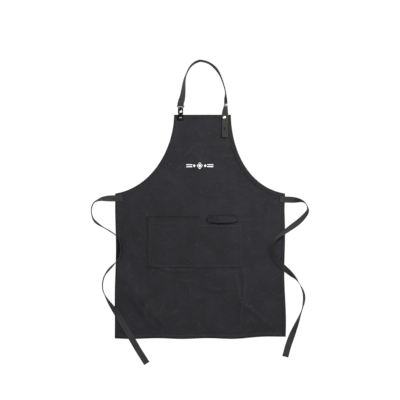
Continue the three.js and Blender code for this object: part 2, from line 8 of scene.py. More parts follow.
import bmesh
import bpy
import numpy as np
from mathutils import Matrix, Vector
from mathutils.geometry import delaunay_2d_cdt


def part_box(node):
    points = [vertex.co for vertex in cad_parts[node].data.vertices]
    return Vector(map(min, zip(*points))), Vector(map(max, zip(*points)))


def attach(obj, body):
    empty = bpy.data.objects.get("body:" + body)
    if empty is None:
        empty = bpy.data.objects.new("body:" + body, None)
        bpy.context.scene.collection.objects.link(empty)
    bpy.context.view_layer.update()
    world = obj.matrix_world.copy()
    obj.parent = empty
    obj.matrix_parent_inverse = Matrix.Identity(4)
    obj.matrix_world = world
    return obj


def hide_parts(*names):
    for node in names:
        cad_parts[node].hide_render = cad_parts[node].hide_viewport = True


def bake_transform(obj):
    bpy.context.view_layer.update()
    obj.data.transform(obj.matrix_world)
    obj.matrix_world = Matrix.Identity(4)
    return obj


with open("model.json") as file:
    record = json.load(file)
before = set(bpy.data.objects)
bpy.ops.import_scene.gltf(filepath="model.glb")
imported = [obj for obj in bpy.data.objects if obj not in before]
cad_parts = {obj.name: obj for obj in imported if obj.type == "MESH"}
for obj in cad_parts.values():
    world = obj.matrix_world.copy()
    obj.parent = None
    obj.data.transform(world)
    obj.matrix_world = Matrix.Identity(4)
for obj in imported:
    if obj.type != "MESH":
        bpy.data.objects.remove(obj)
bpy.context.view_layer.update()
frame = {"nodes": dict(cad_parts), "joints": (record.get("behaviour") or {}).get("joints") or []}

MM = 0.001

# ---- places, from the frame ----
BODY_LOW, BODY_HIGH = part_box("canvas_body")
POCKET_LOW, POCKET_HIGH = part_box("pocket_panel")
BAND_LOW, BAND_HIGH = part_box("towel_loop")
TAB_LOW, TAB_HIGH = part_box("hook_tab")
EYE_LOW, EYE_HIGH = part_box("swivel_eye")
CLAW_LOW, CLAW_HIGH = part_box("snap_claw")
GATE_LOW, GATE_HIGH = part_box("snap_gate")
PIN_LOW, PIN_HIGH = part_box("gate_pin")
UPPER_LOW, UPPER_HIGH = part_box("adjuster_upper")
LOWER_LOW, LOWER_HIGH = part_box("adjuster_lower")
STUD_LOW, STUD_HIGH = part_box("adjuster_stud")
COPPER_LOW, COPPER_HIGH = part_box("copper_rivet")
RIVET_LOW, RIVET_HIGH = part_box("tab_rivet")
FOLD = next(j for j in frame["joints"] if j["name"] == "neck_strap_fold")["pos_m"]

BIB_TOP = BODY_HIGH[1]
HEM = BODY_LOW[1]
SIDE = BODY_HIGH[0]


def middle(low, high):
    """The middle of a box in x and y."""
    return (low[0] + high[0]) / 2, (low[1] + high[1]) / 2


HOOK_X = middle(CLAW_LOW, CLAW_HIGH)[0]
STRAP_X = middle(LOWER_LOW, LOWER_HIGH)[0]
PIN_X, PIN_Y = middle(PIN_LOW, PIN_HIGH)
STUD_X, STUD_Y = middle(STUD_LOW, STUD_HIGH)

# ---- sizes ----
BIB_WIDTH = 228 * MM
BIB_SHIFT = 9.5 * MM
ARMHOLE_DROP = 315 * MM
CLOTH = 0.9 * MM
HEM_WIDTH = 14 * MM
STRAP_WIDTH = 25 * MM
WEBBING = 1.6 * MM
TAPE = 0.9 * MM
POCKET_DIVIDER = -9 * MM
SMALL_MOUTH_DROP = 31 * MM
TIE_GAP = 0.3 * MM
BAR = 1.8 * MM  # half the thickness of the hook's plate and of the eye's bar
SEAM = 0.8 * MM  # how much thicker the folded hem is than the cloth
HOLE_PITCH = 46 * MM

# ---- routes of the bands ----
# x, y, height of the lower edge, roll from flat in degrees, and the neck's share of its full width.
# The neck webbing is given from the bib's top edge, and starts at the hook.
NECK_ROUTE = [
    (-0.0754, 0.053, 0.0034, 4, 1), (-0.0722, 0.063, 0.002, 20, 1),
    (-0.069, 0.08, 0.0005, 36, 1), (-0.0666, 0.099, 0, 48, 1),
    (-0.0646, 0.119, 0, 60, 1), (-0.0616, 0.139, 0, 72, 1),
    (-0.0552, 0.16, 0, 82, 1), (-0.043, 0.185, 0, 79, 1),
    (-0.0276, 0.202, 0, 75, 1), (-0.009, 0.212, 0, 75, 1),
    (0.004, 0.214, 0, 76, 1), (0.025, 0.2094, 0, 77, 1),
    (0.043, 0.2006, 0, 75, 1), (0.061, 0.185, 0, 71, 1),
    (0.073, 0.169, 0, 75, 1), (0.0824, 0.151, 0, 80, 1),
    (0.0934, 0.121, 0, 83, 1), (0.1006, 0.093, 0, 84, 1),
    (0.102, 0.076, 0, 76, 1), (0.1022, 0.064, 0.0001, 62, 0.86),
    (0.1024, 0.057, 0.0005, 44, 0.62), (0.1025, 0.051, 0.0011, 8, 0.53),
    (0.1025, 0.048, 0.0013, 0, 0.53), (0.1025, 0.037, 0.0013, 0, 0.53),
    (0.1025, 0.026, 0.0013, 0, 0.6),
]
LEFT_TIE_ROUTE = [
    (-0.31, 0.008, 0.0023, 0), (-0.337, 0.0068, 0.0023, 0),
    (-0.354, 0.0064, 0.002, 6), (-0.37, 0.006, 0.0004, 22),
    (-0.392, 0.004, 0, 50), (-0.41, -0.002, 0, 70),
    (-0.423, -0.01, 0, 76), (-0.431, -0.024, 0, 74),
    (-0.434, -0.044, 0, 76), (-0.43, -0.066, 0, 74),
    (-0.422, -0.082, 0, 66), (-0.408, -0.095, 0, 66),
    (-0.384, -0.11, 0.0006, 78), (-0.36, -0.124, 0.0023, 76),
    (-0.338, -0.139, 0.0023, 78), (-0.324, -0.158, 0.0023, 86),
    (-0.317, -0.18, 0.0023, 88), (-0.3165, -0.204, 0.0023, 88),
    (-0.323, -0.228, 0.0023, 88), (-0.336, -0.248, 0.0023, 84),
    (-0.352, -0.265, 0.0023, 70), (-0.366, -0.28, 0.0012, 70),
    (-0.378, -0.297, 0, 76), (-0.386, -0.316, 0, 75),
    (-0.3896, -0.34, 0, 75), (-0.387, -0.362, 0, 75),
    (-0.3806, -0.378, 0, 76), (-0.372, -0.394, 0.0006, 66),
    (-0.362, -0.41, 0.002, 54), (-0.351, -0.426, 0.0023, 40),
    (-0.332, -0.454, 0.0023, 16), (-0.316, -0.482, 0.0023, 2),
    (-0.296, -0.516, 0.0023, 0), (-0.272, -0.556, 0.0023, 0),
    (-0.249, -0.596, 0.0016, 0), (-0.229, -0.628, 0.0004, 0),
    (-0.213, -0.654, 0, 0),
]
RIGHT_TIE_ROUTE = [
    (0.318, 0.004, 0.0023, 0), (0.34, 0.002, 0.0023, 0),
    (0.364, 0.0008, 0.002, 10), (0.388, -0.001, 0.0006, 40),
    (0.405, -0.004, 0, 66), (0.418, -0.011, 0, 84),
    (0.426, -0.022, 0, 88), (0.43, -0.038, 0, 76),
    (0.425, -0.052, 0, 58), (0.415, -0.065, 0, 48),
    (0.399, -0.082, 0, 36), (0.379, -0.098, 0.0004, 32),
    (0.355, -0.115, 0.0023, 40), (0.335, -0.13, 0.0023, 54),
    (0.312, -0.146, 0.0023, 68), (0.294, -0.164, 0.0023, 70),
    (0.285, -0.186, 0.0023, 56), (0.288, -0.21, 0.0023, 48),
    (0.3, -0.234, 0.0023, 40), (0.32, -0.257, 0.0023, 30),
    (0.343, -0.278, 0.0023, 28), (0.363, -0.296, 0.0022, 44),
    (0.381, -0.313, 0.0006, 70), (0.395, -0.332, 0, 88),
    (0.406, -0.352, 0, 80), (0.413, -0.372, 0, 74),
    (0.415, -0.392, 0, 72), (0.4126, -0.412, 0, 78),
    (0.407, -0.436, 0, 88), (0.3986, -0.46, 0, 80),
    (0.388, -0.488, 0, 62), (0.375, -0.52, 0, 40),
    (0.363, -0.552, 0, 14), (0.351, -0.588, 0, 4),
    (0.3406, -0.627, 0, 0),
]


# ================================ camera, floor and light ================================
def add_camera(height=4.5, field=1.6, centre_x=-0.0004):
    """A camera straight above, with the field's width in metres on the floor."""
    data = bpy.data.cameras.new("camera")
    data.sensor_width = 36
    data.lens = data.sensor_width * height / field
    camera = bpy.data.objects.new("camera", data)
    camera.location = (centre_x, 0, height)
    bpy.context.scene.collection.objects.link(camera)
    bpy.context.scene.camera = camera


def add_lamp(name, place, size, power):
    """A round lamp that faces the origin."""
    light = bpy.data.lights.new(name, "AREA")
    light.shape, light.size, light.energy = "DISK", size, power
    lamp = bpy.data.objects.new(name, light)
    lamp.location = place
    lamp.rotation_euler = Vector(place).to_track_quat("Z", "Y").to_euler()
    bpy.context.scene.collection.objects.link(lamp)


def add_stage():
    """A floor of even white light, a pale sky, and lamps from the upper right and the left."""
    half = 8
    paper = plain_material("floor_white", (0, 0, 0), 0.9)
    glow = paper.node_tree.nodes["Principled BSDF"].inputs
    glow["Specular IOR Level"].default_value = 0
    glow["Emission Color"].default_value = (1, 1, 1, 1)
    glow["Emission Strength"].default_value = 1.03
    corners = [(-half, -half, 0), (half, -half, 0), (half, half, 0), (-half, half, 0)]
    mesh_object("floor", corners, [(0, 1, 2, 3)], paper)
    world = bpy.data.worlds.new("studio")
    world.use_nodes = True
    sky = world.node_tree.nodes["Background"]
    sky.inputs["Color"].default_value = (1, 1, 1, 1)
    sky.inputs["Strength"].default_value = 0.5
    bpy.context.scene.world = world
    add_lamp("key", (1.75, 1.3, 1.85), 1.5, 112)
    add_lamp("fill", (-0.9, 0.5, 2.7), 0.7, 22)
    view = bpy.context.scene.view_settings
    view.view_transform = "Standard"
    view.look = "None"


# ================================ mesh helpers ================================
def mesh_object(name, verts, faces, material, uvs=None):
    """A mesh object; uvs has one (u, v) for each vertex, in metres."""
    mesh = bpy.data.meshes.new(name)
    mesh.from_pydata([tuple(v) for v in verts], [], faces)
    if uvs is not None:
        layer = mesh.uv_layers.new(name="metres")
        corners = np.empty(len(mesh.loops), dtype=np.int32)
        mesh.loops.foreach_get("vertex_index", corners)
        layer.data.foreach_set("uv", np.asarray(uvs, dtype=np.float32)[corners].ravel())
    mesh.polygons.foreach_set("use_smooth", [True] * len(mesh.polygons))
    mesh.materials.append(material)
    mesh.update()
    obj = bpy.data.objects.new(name, mesh)
    bpy.context.scene.collection.objects.link(obj)
    return obj


def settle(obj, body, slot, *nodes):
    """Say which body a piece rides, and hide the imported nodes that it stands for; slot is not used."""
    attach(obj, body)
    if nodes:
        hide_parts(*nodes)


def face_outwards(obj):
    """Merge the points that coincide, and turn every face outwards."""
    work = bmesh.new()
    work.from_mesh(obj.data)
    bmesh.ops.remove_doubles(work, verts=work.verts, dist=1e-6)
    bmesh.ops.recalc_face_normals(work, faces=work.faces)
    work.to_mesh(obj.data)
    work.free()
    return obj


def inside(points, loop):
    """Which of the points lie inside the closed loop."""
    x, y = points[:, 0], points[:, 1]
    hit = np.zeros(len(points), dtype=bool)
    for (x0, y0), (x1, y1) in zip(loop, np.roll(loop, -1, axis=0)):
        if y0 == y1:
            continue
        crosses = (y0 > y) != (y1 > y)
        hit ^= crosses & (x < (x1 - x0) * (y - y0) / (y1 - y0) + x0)
    return hit


def level(value):
    """A function of x and y that is the same everywhere."""
    return lambda x, y: np.full_like(x, value)


def unit(rows):
    """Each row scaled to a length of one."""
    return rows / np.linalg.norm(rows, axis=1, keepdims=True)


def closed_path(loop):
    """A loop with its first point repeated at its end."""
    return np.vstack([loop, loop[:1]])


def arc(x, y, r, start, end, count):
    """Points on an arc about (x, y), between two angles in degrees."""
    return [(x + r * math.cos(a), y + r * math.sin(a)) for a in np.radians(np.linspace(start, end, count))]


def resample(points, step):
    """The closed loop with a point about every step, its own corners kept."""
    out = []
    points = np.asarray(points, dtype=float)
    for a, b in zip(points, np.roll(points, -1, axis=0)):
        n = max(1, round(float(np.linalg.norm(b - a)) / step))
        out.extend(a + (b - a) * i / n for i in range(n))
    return np.array(out)


def loops_in(outline, *rows):
    """A panel's loops, from rows of (margin in millimetres, fullness, extra thickness in millimetres)."""
    return [(outline(margin * MM), full, more * MM) for margin, full, more in rows]


def panel(name, loops, holes, spacing, under, thickness, material, wear=None):
    """A closed sheet. loops run from its edge inwards as (points, fullness, extra thickness).

    Fullness is how much of the thickness shows at the loop, so the edge is rounded. holes have the same form,
    from the hole's edge outwards. under and thickness are functions of x and y.
    """
    coords, full, extra, edges = [], [], [], []
    for points, fullness, more in [*loops, *(h for hole in holes for h in hole)]:
        first = len(coords)
        coords.extend(points)
        full.extend([fullness] * len(points))
        extra.extend([more] * len(points))
        edges.extend((first + i, first + (i + 1) % len(points)) for i in range(len(points)))
    edge_loop, inner = loops[0][0], loops[-1][0]
    low, high = edge_loop.min(axis=0), edge_loop.max(axis=0)
    columns = np.arange(low[0], high[0], spacing)
    rows = np.arange(low[1], high[1], spacing * 0.866)
    grid = np.array([(x + spacing / 2 * (j % 2), y) for j, y in enumerate(rows) for x in columns])
    grid = grid + np.random.default_rng(5).uniform(-0.15, 0.15, grid.shape) * spacing
    keep = inside(grid, shrunk(inner, spacing * 0.5))
    for hole in holes:
        keep &= ~inside(grid, shrunk(hole[-1][0], -spacing * 0.5))
    grid = grid[keep]
    coords.extend(grid)
    full.extend([1] * len(grid))
    extra.extend([0] * len(grid))
    verts, _, faces, origin, _, _ = delaunay_2d_cdt(
        [Vector(c) for c in coords], edges, [], 1, 1e-7)
    flat = np.array([tuple(v) for v in verts])
    source = [o[0] if o else 0 for o in origin]
    fullness, more = np.array(full)[source], np.array(extra)[source]
    faces = np.array(faces)
    for hole in holes:
        faces = faces[~inside(flat[faces].mean(axis=1), hole[0][0])]
    base = under(flat[:, 0], flat[:, 1])
    thick = thickness(flat[:, 0], flat[:, 1]) + more
    shift = thick * (1 - fullness) / 2
    front = np.column_stack([flat, base + thick - shift])
    back = np.column_stack([flat, base + shift])
    n = len(flat)
    walls = boundary(faces)
    polygons = [tuple(f) for f in faces]
    polygons += [tuple(f[::-1] + n) for f in faces]
    polygons += [(b, a, a + n, b + n) for a, b in walls]
    used = np.unique(np.concatenate([faces.ravel(), faces.ravel() + n]))
    fresh = np.full(2 * n, -1)
    fresh[used] = np.arange(len(used))
    polygons = [tuple(int(fresh[i]) for i in p) for p in polygons]
    verts = np.vstack([front, back])[used]
    obj = mesh_object(name, verts, polygons, material, uvs=verts[:, :2])
    # The attribute carries rubbed pale creases and painted shade.
    if wear is not None:
        mark = obj.data.attributes.new("wear", "FLOAT", "POINT")
        mark.data.foreach_set("value", wear(verts[:, 0], verts[:, 1]).astype(np.float32))
    return obj


def boundary(faces):
    """The directed edges that only one of the triangles has."""
    seen = {}
    for f in faces:
        for a, b in ((f[0], f[1]), (f[1], f[2]), (f[2], f[0])):
            seen[(int(a), int(b))] = True
    return [(a, b) for a, b in seen if (b, a) not in seen]


def shrunk(loop, margin):
    """The loop moved inwards by the margin along its own normals."""
    ahead, behind = np.roll(loop, -1, axis=0), np.roll(loop, 1, axis=0)
    along = ahead - behind
    along /= np.maximum(np.linalg.norm(along, axis=1, keepdims=True), 1e-12)
    inwards = np.column_stack([-along[:, 1], along[:, 0]])
    area = np.sum(loop[:, 0] * ahead[:, 1] - ahead[:, 0] * loop[:, 1])
    return loop + inwards * (margin if area > 0 else -margin)


def spline(points, count):
    """Points along a Catmull-Rom curve through the given rows, about evenly in their order."""
    rows = np.asarray(points, dtype=float)
    rows = np.vstack([2 * rows[0] - rows[1], rows, 2 * rows[-1] - rows[-2]])
    t = np.linspace(0, len(rows) - 3, count)
    i = np.minimum(t.astype(int), len(rows) - 4)
    f = (t - i)[:, None]
    a, b, c, d = rows[i], rows[i + 1], rows[i + 2], rows[i + 3]
    return 0.5 * (2 * b + (c - a) * f + (2 * a - 5 * b + 4 * c - d) * f**2 + (3 * b - 3 * c + d - a) * f**3)


def tube_faces(rings, sides, first=0, closed=False):
    """The faces of a tube whose rings of points start at the first vertex, with caps unless it is closed."""
    faces = []
    for i in range(rings if closed else rings - 1):
        a, b = first + i * sides, first + (i + 1) % rings * sides
        faces += [(a + k, a + (k + 1) % sides, b + (k + 1) % sides, b + k) for k in range(sides)]
    if not closed:
        last = first + (rings - 1) * sides
        faces += [tuple(range(first, first + sides))[::-1], tuple(range(last, last + sides))]
    return faces


def sweep(name, centres, across, out, section, material, closed=False):
    """A section of (across, out) points carried along the centres, with caps unless it is closed."""
    verts = [c + w * a + u * b for c, w, u in zip(centres, across, out) for a, b in section]
    faces = tube_faces(len(centres), len(section), closed=closed)
    lengths = np.concatenate([[0], np.cumsum(np.linalg.norm(np.diff(centres, axis=0), axis=1))])
    girth = np.concatenate([[0], np.cumsum(np.linalg.norm(np.diff(section, axis=0), axis=1))])
    uvs = [(s, g) for s in lengths for g in girth]
    return face_outwards(mesh_object(name, verts, faces, material, uvs=uvs))


def lathe(name, profile, place, material, axis="Z", segments=48):
    """A round solid from (radius, height) pairs, its height along the axis from the place."""
    spots = [(x, y, h) for r, h in profile for x, y in ellipse_section(r, r, segments)]
    verts = [(x, y, h) if axis == "Z" else (x, h, -y) for x, y, h in spots]
    faces = tube_faces(len(profile), segments)
    return face_outwards(mesh_object(name, np.array(verts) + np.array(place), faces, material))


def joined(name, *objects):
    """One object of the given ones."""
    with bpy.context.temp_override(
            active_object=objects[0], object=objects[0],
            selected_objects=list(objects), selected_editable_objects=list(objects)):
        bpy.ops.object.join()
    objects[0].name = name
    return objects[0]


def rounded_loop(x0, x1, y0, y1, r):
    """A rectangle with round corners."""
    corners = ((x1 - r, y0 + r, -90), (x1 - r, y1 - r, 0), (x0 + r, y1 - r, 90), (x0 + r, y0 + r, 180))
    return resample([p for x, y, start in corners for p in arc(x, y, r, start, start + 90, 8)], 2.5 * MM)


def ellipse_section(a, b, count):
    """Points round an ellipse of half axes a and b."""
    return np.array([(a * math.cos(2 * math.pi * k / count), b * math.sin(2 * math.pi * k / count))
                     for k in range(count)])


# ================================ materials ================================
class Look:
    """A material being built from nodes."""

    def __init__(self, name, coordinates="Object"):
        self.material = bpy.data.materials.new(name)
        self.material.use_nodes = True
        self.tree = self.material.node_tree
        self.shader = self.tree.nodes["Principled BSDF"]
        self.where = self.tree.nodes.new("ShaderNodeTexCoord").outputs[coordinates]

    def node(self, kind, **settings):
        node = self.tree.nodes.new(kind)
        for key, value in settings.items():
            setattr(node, key, value)
        return node

    def join(self, out, into):
        self.tree.links.new(out, into)

    def noise(self, scale, detail=4, roughness=0.55, stretch=None):
        node = self.node("ShaderNodeTexNoise")
        node.inputs["Scale"].default_value = scale
        node.inputs["Detail"].default_value = detail
        node.inputs["Roughness"].default_value = roughness
        self.join(self.placed(stretch) if stretch else self.where, node.inputs["Vector"])
        return node.outputs["Fac"]

    def placed(self, scale):
        """The material's coordinates, stretched."""
        node = self.node("ShaderNodeMapping")
        node.inputs["Scale"].default_value = scale
        self.join(self.where, node.inputs["Vector"])
        return node.outputs["Vector"]

    def wave(self, pitch, direction):
        """Ribs a pitch apart: the wave texture's own period is 2 pi / 20 at scale 1."""
        node = self.node("ShaderNodeTexWave", wave_type="BANDS", bands_direction=direction)
        node.inputs["Scale"].default_value = 2 * math.pi / 20 / pitch
        self.join(self.where, node.inputs["Vector"])
        return node.outputs["Fac"]

    def math(self, operation, a, b=None, clamp=False):
        node = self.node("ShaderNodeMath", operation=operation, use_clamp=clamp)
        for value, socket in ((a, node.inputs[0]), (b, node.inputs[1])):
            if value is None:
                continue
            if isinstance(value, (int, float)):
                socket.default_value = value
            else:
                self.join(value, socket)
        return node.outputs[0]

    def ribs(self, value, pitch):
        """A sine of the value, between 0 and 1."""
        sine = self.math("SINE", self.math("MULTIPLY", value, 2 * math.pi / pitch))
        return self.math("ADD", self.math("MULTIPLY", sine, 0.5), 0.5)

    def ramp(self, value, stops):
        node = self.node("ShaderNodeValToRGB")
        while len(node.color_ramp.elements) < len(stops):
            node.color_ramp.elements.new(0.5)
        for element, (place, colour) in zip(node.color_ramp.elements, stops):
            element.position = place
            element.color = (*colour, 1)
        self.join(value, node.inputs["Fac"])
        return node.outputs["Color"]

    def mix(self, factor, a, b):
        node = self.node("ShaderNodeMix", data_type="RGBA")
        self.join(factor, node.inputs[0])
        for value, socket in ((a, node.inputs[6]), (b, node.inputs[7])):
            if isinstance(value, tuple):
                socket.default_value = (*value, 1)
            else:
                self.join(value, socket)
        return node.outputs[2]

    def colour(self, out):
        self.join(out, self.shader.inputs["Base Color"])

    def rough(self, value, low, high):
        """Roughness from low to high as the value goes from 0 to 1."""
        node = self.node("ShaderNodeMapRange")
        node.inputs["To Min"].default_value = low
        node.inputs["To Max"].default_value = high
        self.join(value, node.inputs["Value"])
        self.join(node.outputs["Result"], self.shader.inputs["Roughness"])

    def bump(self, *layers):
        """Layers of (height output, depth in metres), stacked into the surface."""
        last = None
        for height, depth in layers:
            node = self.node("ShaderNodeBump")
            node.inputs["Strength"].default_value = 1
            node.inputs["Distance"].default_value = depth
            self.join(height, node.inputs["Height"])
            if last:
                self.join(last, node.inputs["Normal"])
            last = node.outputs["Normal"]
        self.join(last, self.shader.inputs["Normal"])

    def fixed(self, **sockets):
        """Numbers that are the same all over the surface, set on the shader's own sockets."""
        for name, value in sockets.items():
            self.shader.inputs[name.replace("_", " ").title().replace("Ior", "IOR")].default_value = value


def plain_material(name, colour, roughness):
    material = bpy.data.materials.new(name)
    material.use_nodes = True
    shader = material.node_tree.nodes["Principled BSDF"]
    shader.inputs["Base Color"].default_value = (*colour, 1)
    shader.inputs["Roughness"].default_value = roughness
    return material


def canvas_look(name, dark, light, rubbed):
    """Waxed duck: a plain weave under a film of wax.

    Its per-point attribute is above zero where a crease has rubbed it pale, and below zero where the colour
    is painted darker: painted shade round the towel loop and at the pocket's mouth, and a darker hem edge.
    """
    look = Look(name)
    clouds = look.noise(9, 5, 0.62)
    specks = look.noise(160, 3, 0.7)
    body = look.mix(look.ramp(clouds, [(0.36, (0, 0, 0)), (0.66, (1, 1, 1))]), dark, light)
    mark = look.node("ShaderNodeAttribute", attribute_name="wear").outputs["Fac"]
    scuff = look.math("MULTIPLY", mark, look.ramp(specks, [(0.35, (0.1, 0.1, 0.1)), (0.75, (0.6, 0.6, 0.6))]))
    # Below zero the colour is mixed towards near-black: painted shade round the towel loop and at the
    # pocket's mouth, and the hem's darker edge.
    marked_and_shaded = look.math("MULTIPLY", mark, -1, clamp=True)
    worn = look.mix(look.math("MAXIMUM", scuff, 0), body, rubbed)
    look.colour(look.mix(marked_and_shaded, worn, (0.002, 0.002, 0.0025)))
    look.rough(clouds, 0.62, 0.8)
    warp, weft = look.wave(0.9 * MM, "X"), look.wave(0.9 * MM, "Y")
    weave = look.math("MULTIPLY", warp, weft)
    slub = look.noise(40, 3, 0.6, stretch=(1, 14, 1))
    look.bump((look.noise(70, 5, 0.65), 0.28 * MM), (slub, 0.1 * MM), (weave, 0.12 * MM))
    look.fixed(specular_ior_level=0.2, sheen_weight=0.03, sheen_roughness=0.5)
    return look.material


def tape_look(name, dark, light, pitch, depth):
    """Woven tape with a herringbone that turns at its centre line, in the tape's own metres."""
    look = Look(name, "UV")
    parts = look.node("ShaderNodeSeparateXYZ")
    look.join(look.where, parts.inputs[0])
    along, girth = parts.outputs[0], parts.outputs[1]
    side = look.math("PINGPONG", girth, 3.1 * MM)
    slope = look.math("ADD", along, side)
    rib, cross = look.ribs(slope, pitch), look.ribs(girth, pitch * 0.6)
    cloud = look.noise(30, 4, 0.6)
    tone = look.math("ADD", look.math("MULTIPLY", rib, 0.35), look.math("MULTIPLY", cloud, 0.65))
    look.colour(look.ramp(tone, [(0.2, dark), (0.75, light)]))
    look.rough(cloud, 0.75, 0.9)
    look.bump((cloud, 0.25 * MM), (rib, depth), (cross, depth * 0.5))
    look.fixed(specular_ior_level=0.15, sheen_weight=0.06, sheen_roughness=0.5)
    return look.material


def leather_look(name, dark, light, shine=0.25):
    """Leather with a fine cellular grain."""
    look = Look(name)
    clouds = look.noise(60, 5, 0.6)
    cells = look.node("ShaderNodeTexVoronoi", feature="F1")
    cells.inputs["Scale"].default_value = 1100
    look.join(look.where, cells.inputs["Vector"])
    look.colour(look.ramp(clouds, [(0.3, dark), (0.72, light)]))
    look.rough(clouds, 0.45, 0.65)
    look.bump((clouds, 0.35 * MM), (cells.outputs["Distance"], 0.12 * MM))
    look.fixed(specular_ior_level=shine)
    return look.material


def metal_look(name, dark, light, low, high, metallic=1):
    """A filmed and finely brushed metal, or its black lacquer where metallic is 0."""
    look = Look(name)
    film = look.noise(220, 4, 0.6)
    brushed = look.noise(500, 2, 0.5, stretch=(1, 9, 1))
    look.colour(look.ramp(film, [(0.3, dark), (0.7, light)]))
    look.rough(brushed, low, high)
    look.bump((film, 0.02 * MM), (brushed, 0.008 * MM))
    look.fixed(metallic=metallic, specular_ior_level=0.5 if metallic else 0.12)
    return look.material


def thread_look(name, dark, light):
    """Twisted thread."""
    look = Look(name)
    strands = look.wave(0.5 * MM, "DIAGONAL")
    look.colour(look.ramp(strands, [(0.2, dark), (0.8, light)]))
    look.rough(strands, 0.6, 0.8)
    look.bump((strands, 0.06 * MM))
    look.fixed(specular_ior_level=0.3, sheen_weight=0.2)
    return look.material


CANVAS = canvas_look("waxed_canvas", (0.0068, 0.0065, 0.0087), (0.0125, 0.012, 0.0155), (0.034, 0.033, 0.039))
TIE_TAPE = tape_look("tie_tape", (0.014, 0.014, 0.0145), (0.036, 0.036, 0.0368), 2.2 * MM, 0.16 * MM)
STRAPPING = tape_look("neck_webbing", (0.0145, 0.0145, 0.0143), (0.037, 0.037, 0.036), 2.8 * MM, 0.3 * MM)
HIDE = leather_look("bridle_leather", (0.009, 0.0082, 0.009), (0.023, 0.0212, 0.023))
TAB_HIDE = leather_look("black_leather", (0.0018, 0.0017, 0.0018), (0.0042, 0.004, 0.0042), shine=0.08)
NICKEL = metal_look("nickel", (0.13, 0.13, 0.13), (0.3, 0.3, 0.295), 0.24, 0.38)
BLACK_NICKEL = metal_look(
    "black_nickel", (0.004, 0.004, 0.0045), (0.011, 0.011, 0.012), 0.4, 0.55, metallic=0)
PEWTER = metal_look("dull_nickel", (0.09, 0.09, 0.09), (0.16, 0.16, 0.16), 0.3, 0.45)
BRASS = metal_look("brass", (0.6, 0.5, 0.27), (0.8, 0.7, 0.44), 0.22, 0.36)
COPPER = metal_look("copper", (0.26, 0.165, 0.125), (0.38, 0.27, 0.22), 0.36, 0.52)
THREAD = thread_look("thread", (0.008, 0.0078, 0.0095), (0.02, 0.0195, 0.022))
INK = plain_material("print_ink", (0.8, 0.8, 0.8), 0.7)
DARK_INK = plain_material("print_shadow", (0.003, 0.003, 0.003), 0.8)


# ================================ the cloth's surface ================================
def swell(x, y, seed, short, long, count=26):
    """A smooth random surface of unit size, with waves between the two lengths."""
    rng = np.random.default_rng(seed)
    total = np.zeros_like(x)
    for _ in range(count):
        length = rng.uniform(short, long)
        heading = rng.uniform(0, math.pi)
        k = 2 * math.pi / length
        total += np.sin(k * (x * math.cos(heading) + y * math.sin(heading)) + rng.uniform(0, 2 * math.pi))
    return total / math.sqrt(count / 2)


def smooth(value, low, high):
    """From 0 at low to 1 at high, with an easy start and end."""
    t = np.clip((value - low) / (high - low), 0, 1)
    return t * t * (3 - 2 * t)


def from_line(x, y, points):
    """Distance from the polyline, and where along it the nearest point is, from 0 to 1."""
    best, place = np.full_like(x, 1e9), np.zeros_like(x)
    points = np.asarray(points, dtype=float)
    for i, (a, b) in enumerate(zip(points[:-1], points[1:])):
        run = b - a
        t = np.clip(((x - a[0]) * run[0] + (y - a[1]) * run[1]) / run.dot(run), 0, 1)
        d = np.hypot(x - a[0] - run[0] * t, y - a[1] - run[1] * t)
        nearer = d < best
        best = np.where(nearer, d, best)
        place = np.where(nearer, (i + t) / (len(points) - 1), place)
    return best, place


# Creases of the cloth: their line, width and height.
CREASES = [
    ([(-0.335, -0.27), (-0.27, -0.35), (-0.2, -0.44), (-0.12, -0.53)], 0.03, 6 * MM),
    ([(-0.3, -0.36), (-0.235, -0.44), (-0.19, -0.51)], 0.014, 2.6 * MM),
    ([(0.172, -0.255), (0.18, -0.34), (0.17, -0.43), (0.154, -0.54)], 0.007, 2.8 * MM),
    ([(0.135, -0.27), (0.15, -0.34), (0.16, -0.4), (0.166, -0.46)], 0.006, 2.2 * MM),
    ([(0.215, -0.33), (0.19, -0.4), (0.172, -0.46)], 0.006, 1.8 * MM),
    ([(0.165, -0.405), (0.22, -0.45), (0.29, -0.51)], 0.006, 1.8 * MM),
    ([(-0.205, -0.25), (-0.157, -0.272), (-0.11, -0.284), (-0.05, -0.279), (0.003, -0.268)],
     0.0065, 2.4 * MM),
    ([(-0.09, -0.33), (-0.083, -0.4), (-0.1, -0.47)], 0.009, 1.5 * MM),
    ([(0.02, -0.34), (0.06, -0.36), (0.12, -0.352)], 0.007, 1.5 * MM),
    ([(-0.24, -0.02), (-0.2, -0.08), (-0.19, -0.16)], 0.012, 1.6 * MM),
    ([(0.22, 0.01), (0.235, -0.08), (0.225, -0.17)], 0.012, 1.4 * MM),
    ([(-0.095, 0.15), (-0.05, 0.19), (-0.01, 0.22)], 0.008, 1.7 * MM),
    ([(-0.02, 0.29), (0.0, 0.255), (0.02, 0.24)], 0.007, 1.3 * MM),
    ([(0.03, 0.21), (0.02, 0.15)], 0.007, 1.2 * MM),
    ([(-0.15, 0.09), (-0.09, 0.06), (-0.03, 0.07)], 0.010, 1.2 * MM),
    ([(-0.29, -0.16), (-0.255, -0.23), (-0.262, -0.31)], 0.011, 1.6 * MM),
    ([(0.29, -0.32), (0.262, -0.4), (0.275, -0.48)], 0.011, 1.7 * MM),
    ([(0.18, -0.5), (0.2, -0.47), (0.225, -0.5)], 0.005, 1.6 * MM),
]


